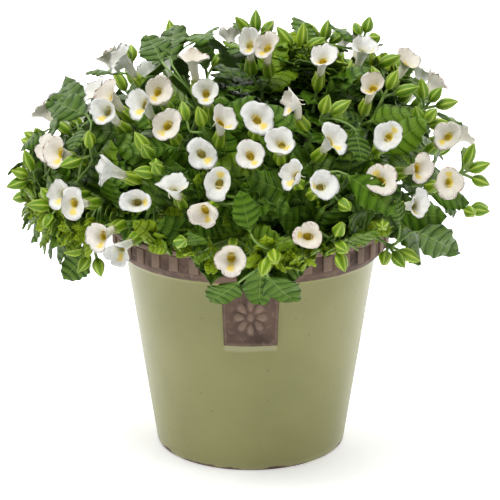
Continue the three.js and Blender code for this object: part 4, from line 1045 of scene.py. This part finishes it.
def add_stem(gathered, curve, foot_radius, tip_radius, tube):
    """A square stem with rounded corners, along a curve."""
    rings = tube["rings"]
    ring = np.clip(np.rint(tube["at"][:, 2]).astype(int), 0, rings - 1)
    around = np.arctan2(tube["at"][:, 1], tube["at"][:, 0])
    pole = np.hypot(tube["at"][:, 0], tube["at"][:, 1]) < 0.5
    centres, sides, besides, across = [], [], [], UP
    for k in range(rings):
        share = k / (rings - 1)
        axis = curve.tangent(share)
        across = perpendicular(axis, across)
        centres.append(curve.at(share))
        sides.append(across)
        besides.append(np.cross(axis, across))
    centres, sides, besides = map(np.array, (centres, sides, besides))
    radius = foot_radius + (tip_radius - foot_radius) * ring / (rings - 1)
    radius = np.where(pole, 0, radius * (1 + 0.1 * np.cos(4 * around)))
    spokes = sides[ring] * np.cos(around)[:, None] + besides[ring] * np.sin(around)[:, None]
    points = centres[ring] + spokes * radius[:, None]
    gathered.add(tube, points, np.zeros((len(points), 3)), 0.5, 1)


for plant in range(9):
    gathered = Gathered()
    foot = crown_foot(plant)
    root = Curve(foot - UP * 12, foot - UP * 6, foot, foot + UP * 7)
    add_stem(gathered, root, 3.4, 3.0, stem_tube)
    for shoot in shoots:
        if shoot["plant"] != plant:
            continue
        add_stem(gathered, shoot["curve"], shoot["foot_radius"], 1.3, stem_tube)
        parts = [(calyx_foot(bloom), bloom["tube"], bloom["lip"], "calyx", CALYX_LENGTH)
                 for bloom in shoot["blooms"]]
        parts += [(bud["foot"], bud["axis"], UP, "bud", bud["length"] * 0.87) for bud in shoot["buds"]]
        for k, (foot, axis, lip, kind, length) in enumerate(parts):
            across, fresh = perpendicular(axis, lip), draw(shoot["number"], k, 21)
            add_lantern(gathered, kind, foot, axis, across, length, fresh)
            start = shoot["tip"] - shoot["axis"] * 2
            stalk = Curve(start, start + shoot["axis"] * 3, foot - axis * 4, foot + axis * 0.5)
            add_stem(gathered, stalk, 1.1, 1.2, twig_tube)
    for curve in twigs[plant]:
        add_stem(gathered, curve, TWIG_FOOT, TWIG_TIP, twig_tube)
    for k, bud in enumerate(buds[plant]):
        tip, foot, axis = bud["tip"], bud["foot"], bud["axis"]
        across, fresh = perpendicular(axis, UP), draw(plant, k, 22)
        add_lantern(gathered, "bud", foot, axis, across, bud["length"], fresh)
        stalk = Curve(tip, tip + axis, foot - axis * 2, foot + axis * 0.5)
        add_stem(gathered, stalk, 0.8, 1.1, twig_tube)
    for leaf in leaves[plant]:
        add_leaf(gathered, leaf)
    piece = gathered.piece(f"foliage_{plant}", leaf_material, stem_material, calyx_material)
    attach(piece, "root")
    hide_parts(f"plant_{plant}")

# A bloom is a fused tube that flares into four rounded petals. It is white, with a yellow blotch on
# the lower petal, an olive throat, and two filaments that meet in it like a wishbone.
bloom_shape = lathe_shape(32, 16)
bloom_turn = np.arctan2(bloom_shape["at"][:, 1], bloom_shape["at"][:, 0])
bloom_ring = np.rint(bloom_shape["at"][:, 2]).astype(int)
petal_material, nodes, feed = new_material("petal", {"Roughness": 0.55, "IOR": 1.4})
place = nodes.attribute("place")
tone = nodes.attribute("tone")
spot = nodes.spot()
low_side, inner, depth = place.parts()
ragged = nodes.noise(spot, 260.0, 4.0)
old = tone.step(0.45, 0.85)
white = ragged.step(0.3, 0.75).mix((0.84, 0.84, 0.80), (0.70, 0.71, 0.67))
white = (old * 0.6).mix(white, (0.80, 0.72, 0.60))
white = (depth.step(0.5, 0.1) * 0.45).mix(white, (0.78, 0.74, 0.42))
white = (depth.step(0.64, 0.46) * inner * 0.45).mix(white, (0.78, 0.76, 0.46))
olive = tone.step(0.15, 0.5).mix((0.55, 0.60, 0.36), (0.90, 0.74, 0.06))
white = (depth.step(0.52, 0.44) * inner).mix(white, olive)
white = (depth.step(0.44, 0.35) * inner * 0.8).mix(white, (0.55, 0.42, 0.03))
blotch = (low_side + (ragged - 0.5) * 0.3).step(0.84, 0.98)
blotch = blotch * depth.step(0.48, 0.56) * depth.step(0.80, 0.70)
white = (blotch * inner * 0.85).mix(white, (0.86, 0.66, 0.06))
freckle = nodes.noise(spot, 700.0, 1.0).step(0.55, 0.66) * depth.step(0.76, 0.95) * old
white = (freckle * 0.7).mix(white, (0.42, 0.20, 0.10))
feed(base_color=white, normal=nodes.bump(ragged, 0.35, 0.0008))


def add_bloom(gathered, bloom):
    size, index = bloom["size"], bloom["index"]
    mouth, facing, tube = bloom["mouth"], bloom["facing"], bloom["tube"]
    end = mouth - tube * TUBE * size
    neck = mouth - facing * 6 * size
    ring = np.clip(bloom_ring, 0, 15)
    pole = (bloom_ring < 0) | (bloom_ring > 15)
    inner = bloom_ring > 8
    # Rings 0 to 8 climb the outside to the petals' edge, and rings 9 to 15 go back down the throat.
    step = np.where(ring <= 8, ring, np.interp(ring, [9, 12, 15], [7, 4, 2.8]))
    in_tube = step <= 4
    share = np.clip(step / 4, 0, 1)
    tube_radius = np.interp(share, [0, 0.3, 0.6, 0.85, 1.0], [2.5, 3.0, 3.6, 4.0, 4.3]) - 0.5 * inner
    flare = np.clip((step - 4) / 4, 0, 1)
    quarter = (bloom_turn / (math.pi / 2) + 0.5) % 4
    which = np.floor(quarter).astype(int)
    lobe = np.abs(np.cos(2 * bloom_turn)) ** 0.55
    # Each lobe bends by its own angle, and the upper one reaches a little farther.
    bend = np.array([6 + 34 * draw(index, 50), 10 + 62 * draw(index, 51), -14 + 84 * draw(index, 52),
                     10 + 62 * draw(index, 54)])
    long = np.array([0.9 + 0.24 * draw(index, k, 58) for k in range(4)])
    angle = np.radians(bend[which] * lobe + bend.mean() * (1 - lobe)) * (0.35 + 0.65 * flare)
    arm = (7.6 + 0.9 * (which == 2)) * (0.78 + 0.22 * lobe * long[which]) * flare
    ruffle = 1.1 * ((quarter % 1) - 0.5) + 0.7 * np.sin(6 * bloom_turn + 9 * draw(index, 55))
    ruffle += 0.45 * np.sin(11 * bloom_turn + 9 * draw(index, 56))
    limb_radius = 4.3 + arm * np.cos(angle)
    ahead = -6 + 4.4 * (1 - (1 - flare) ** 2.2) + arm * np.sin(angle) * 0.8 + ruffle * flare ** 2
    ahead = ahead + np.where(inner, 0.4, 0.0) * (1 - flare * 0.4)
    axis_share = share[:, None] ** 2
    axes = tube * (1 - axis_share) + facing * axis_share
    axes /= np.linalg.norm(axes, axis=1)[:, None]
    across = np.array([perpendicular(axis, bloom["lip"]) for axis in axes])
    beside = np.cross(axes, across)
    in_limb = mouth + facing * (ahead * size)[:, None]
    centre = np.where(in_tube[:, None], end + (neck - end) * share[:, None], in_limb)
    radius = np.where(pole, 0.0, np.where(in_tube, tube_radius, limb_radius)) * size
    narrow = 1 - 0.28 * np.where(in_tube, share, (1 - flare) ** 2)
    points = centre + across * (np.cos(bloom_turn) * radius)[:, None]
    points += beside * (np.sin(bloom_turn) * radius * narrow)[:, None]
    facts = np.column_stack([np.cos(bloom_turn), inner.astype(float), step / 8])
    gathered.add(bloom_shape, points, facts, draw(index, 57), 0)


filament_material, nodes, feed = new_material("filament", {"Roughness": 0.5})
place = nodes.attribute("place")
tip_share = place.parts()[0]
feed(base_color=tip_share.step(0.6, 0.8).mix((0.80, 0.78, 0.55), (0.70, 0.60, 0.30)))
for plant in range(9):
    gathered = Gathered()
    nodes_here = []
    for number, head in enumerate(heads):
        if shoots[number]["plant"] != plant:
            continue
        nodes_here.append(f"bloom_{number}")
        for bloom in head:
            add_bloom(gathered, bloom)
            mouth, facing, lip = bloom["mouth"], bloom["facing"], bloom["lip"]
            middle = mouth - lip * 2.2 - facing * 6.0
            for side in (-1, 1):
                beside = np.cross(facing, lip) * side
                foot = mouth - facing * 11 + beside * 2.6 - lip * 1.5
                arch = Curve(foot, foot + facing * 5 + beside * 2, middle + beside * 2.4, middle)
                add_stem(gathered, arch, 0.3, 0.4, twig_tube)
                gathered.facts[-1][:, 0] = np.clip(twig_tube["at"][:, 2] / 6, 0, 1)
    piece = gathered.piece(f"blooms_{plant}", petal_material, filament_material)
    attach(piece, "root")
    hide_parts(*nodes_here)

# The floor and the wall behind are white and glow a little, as in a light tent. Large soft boxes
# stand to the left, to the right and overhead.
floor_material, nodes, feed = new_material(
    "floor", {"Roughness": 0.8, "Emission Color": (1, 1, 1, 1), "Emission Strength": 0.44})
spot = nodes.spot()
feed(base_color=nodes.noise(spot, 3.0).mix((0.90, 0.90, 0.905), (0.92, 0.92, 0.92)))
bm = bmesh.new()
bmesh.ops.create_grid(bm, x_segments=1, y_segments=1, size=30)
floor = finished("floor", bm, floor_material, scale=1)
wall_material, nodes, feed = new_material("wall", {
    "Base Color": (0.9, 0.9, 0.9, 1), "Roughness": 0.8, "Emission Color": (1, 1, 1, 1),
    "Emission Strength": 1.0})
bm = bmesh.new()
made = bmesh.ops.create_grid(bm, x_segments=1, y_segments=1, size=3)["verts"]
bmesh.ops.rotate(bm, cent=(0, 0, 0), matrix=Matrix.Rotation(math.pi / 2, 3, "X"), verts=made)
bmesh.ops.translate(bm, vec=(0, 1.1, 3), verts=made)
finished("wall", bm, wall_material, scale=1)

world = bpy.data.worlds.new("studio")
bpy.context.scene.world = world
world.use_nodes = True
world.node_tree.nodes["Background"].inputs["Color"].default_value = (1, 1, 1, 1)
world.node_tree.nodes["Background"].inputs["Strength"].default_value = 0.10


def soft_box(name, place, target, size, power):
    light = bpy.data.lights.new(name, "AREA")
    light.shape, light.size, light.size_y, light.energy = "RECTANGLE", *size, power
    box = bpy.data.objects.new(name, light)
    box.location = place
    box.rotation_euler = (Vector(target) - Vector(place)).to_track_quat("-Z", "Y").to_euler()
    bpy.context.collection.objects.link(box)


soft_box("left_box", (-1.5, -0.7, 0.9), (0, 0, 0.15), (0.7, 1.4), 5)
soft_box("right_box", (1.5, -0.5, 0.9), (0, 0, 0.15), (0.7, 1.4), 6.5)
soft_box("top_box", (-0.3, -0.7, 1.7), (0, 0, 0.2), (0.6, 0.5), 20)
bpy.context.scene.view_settings.view_transform = "Standard"
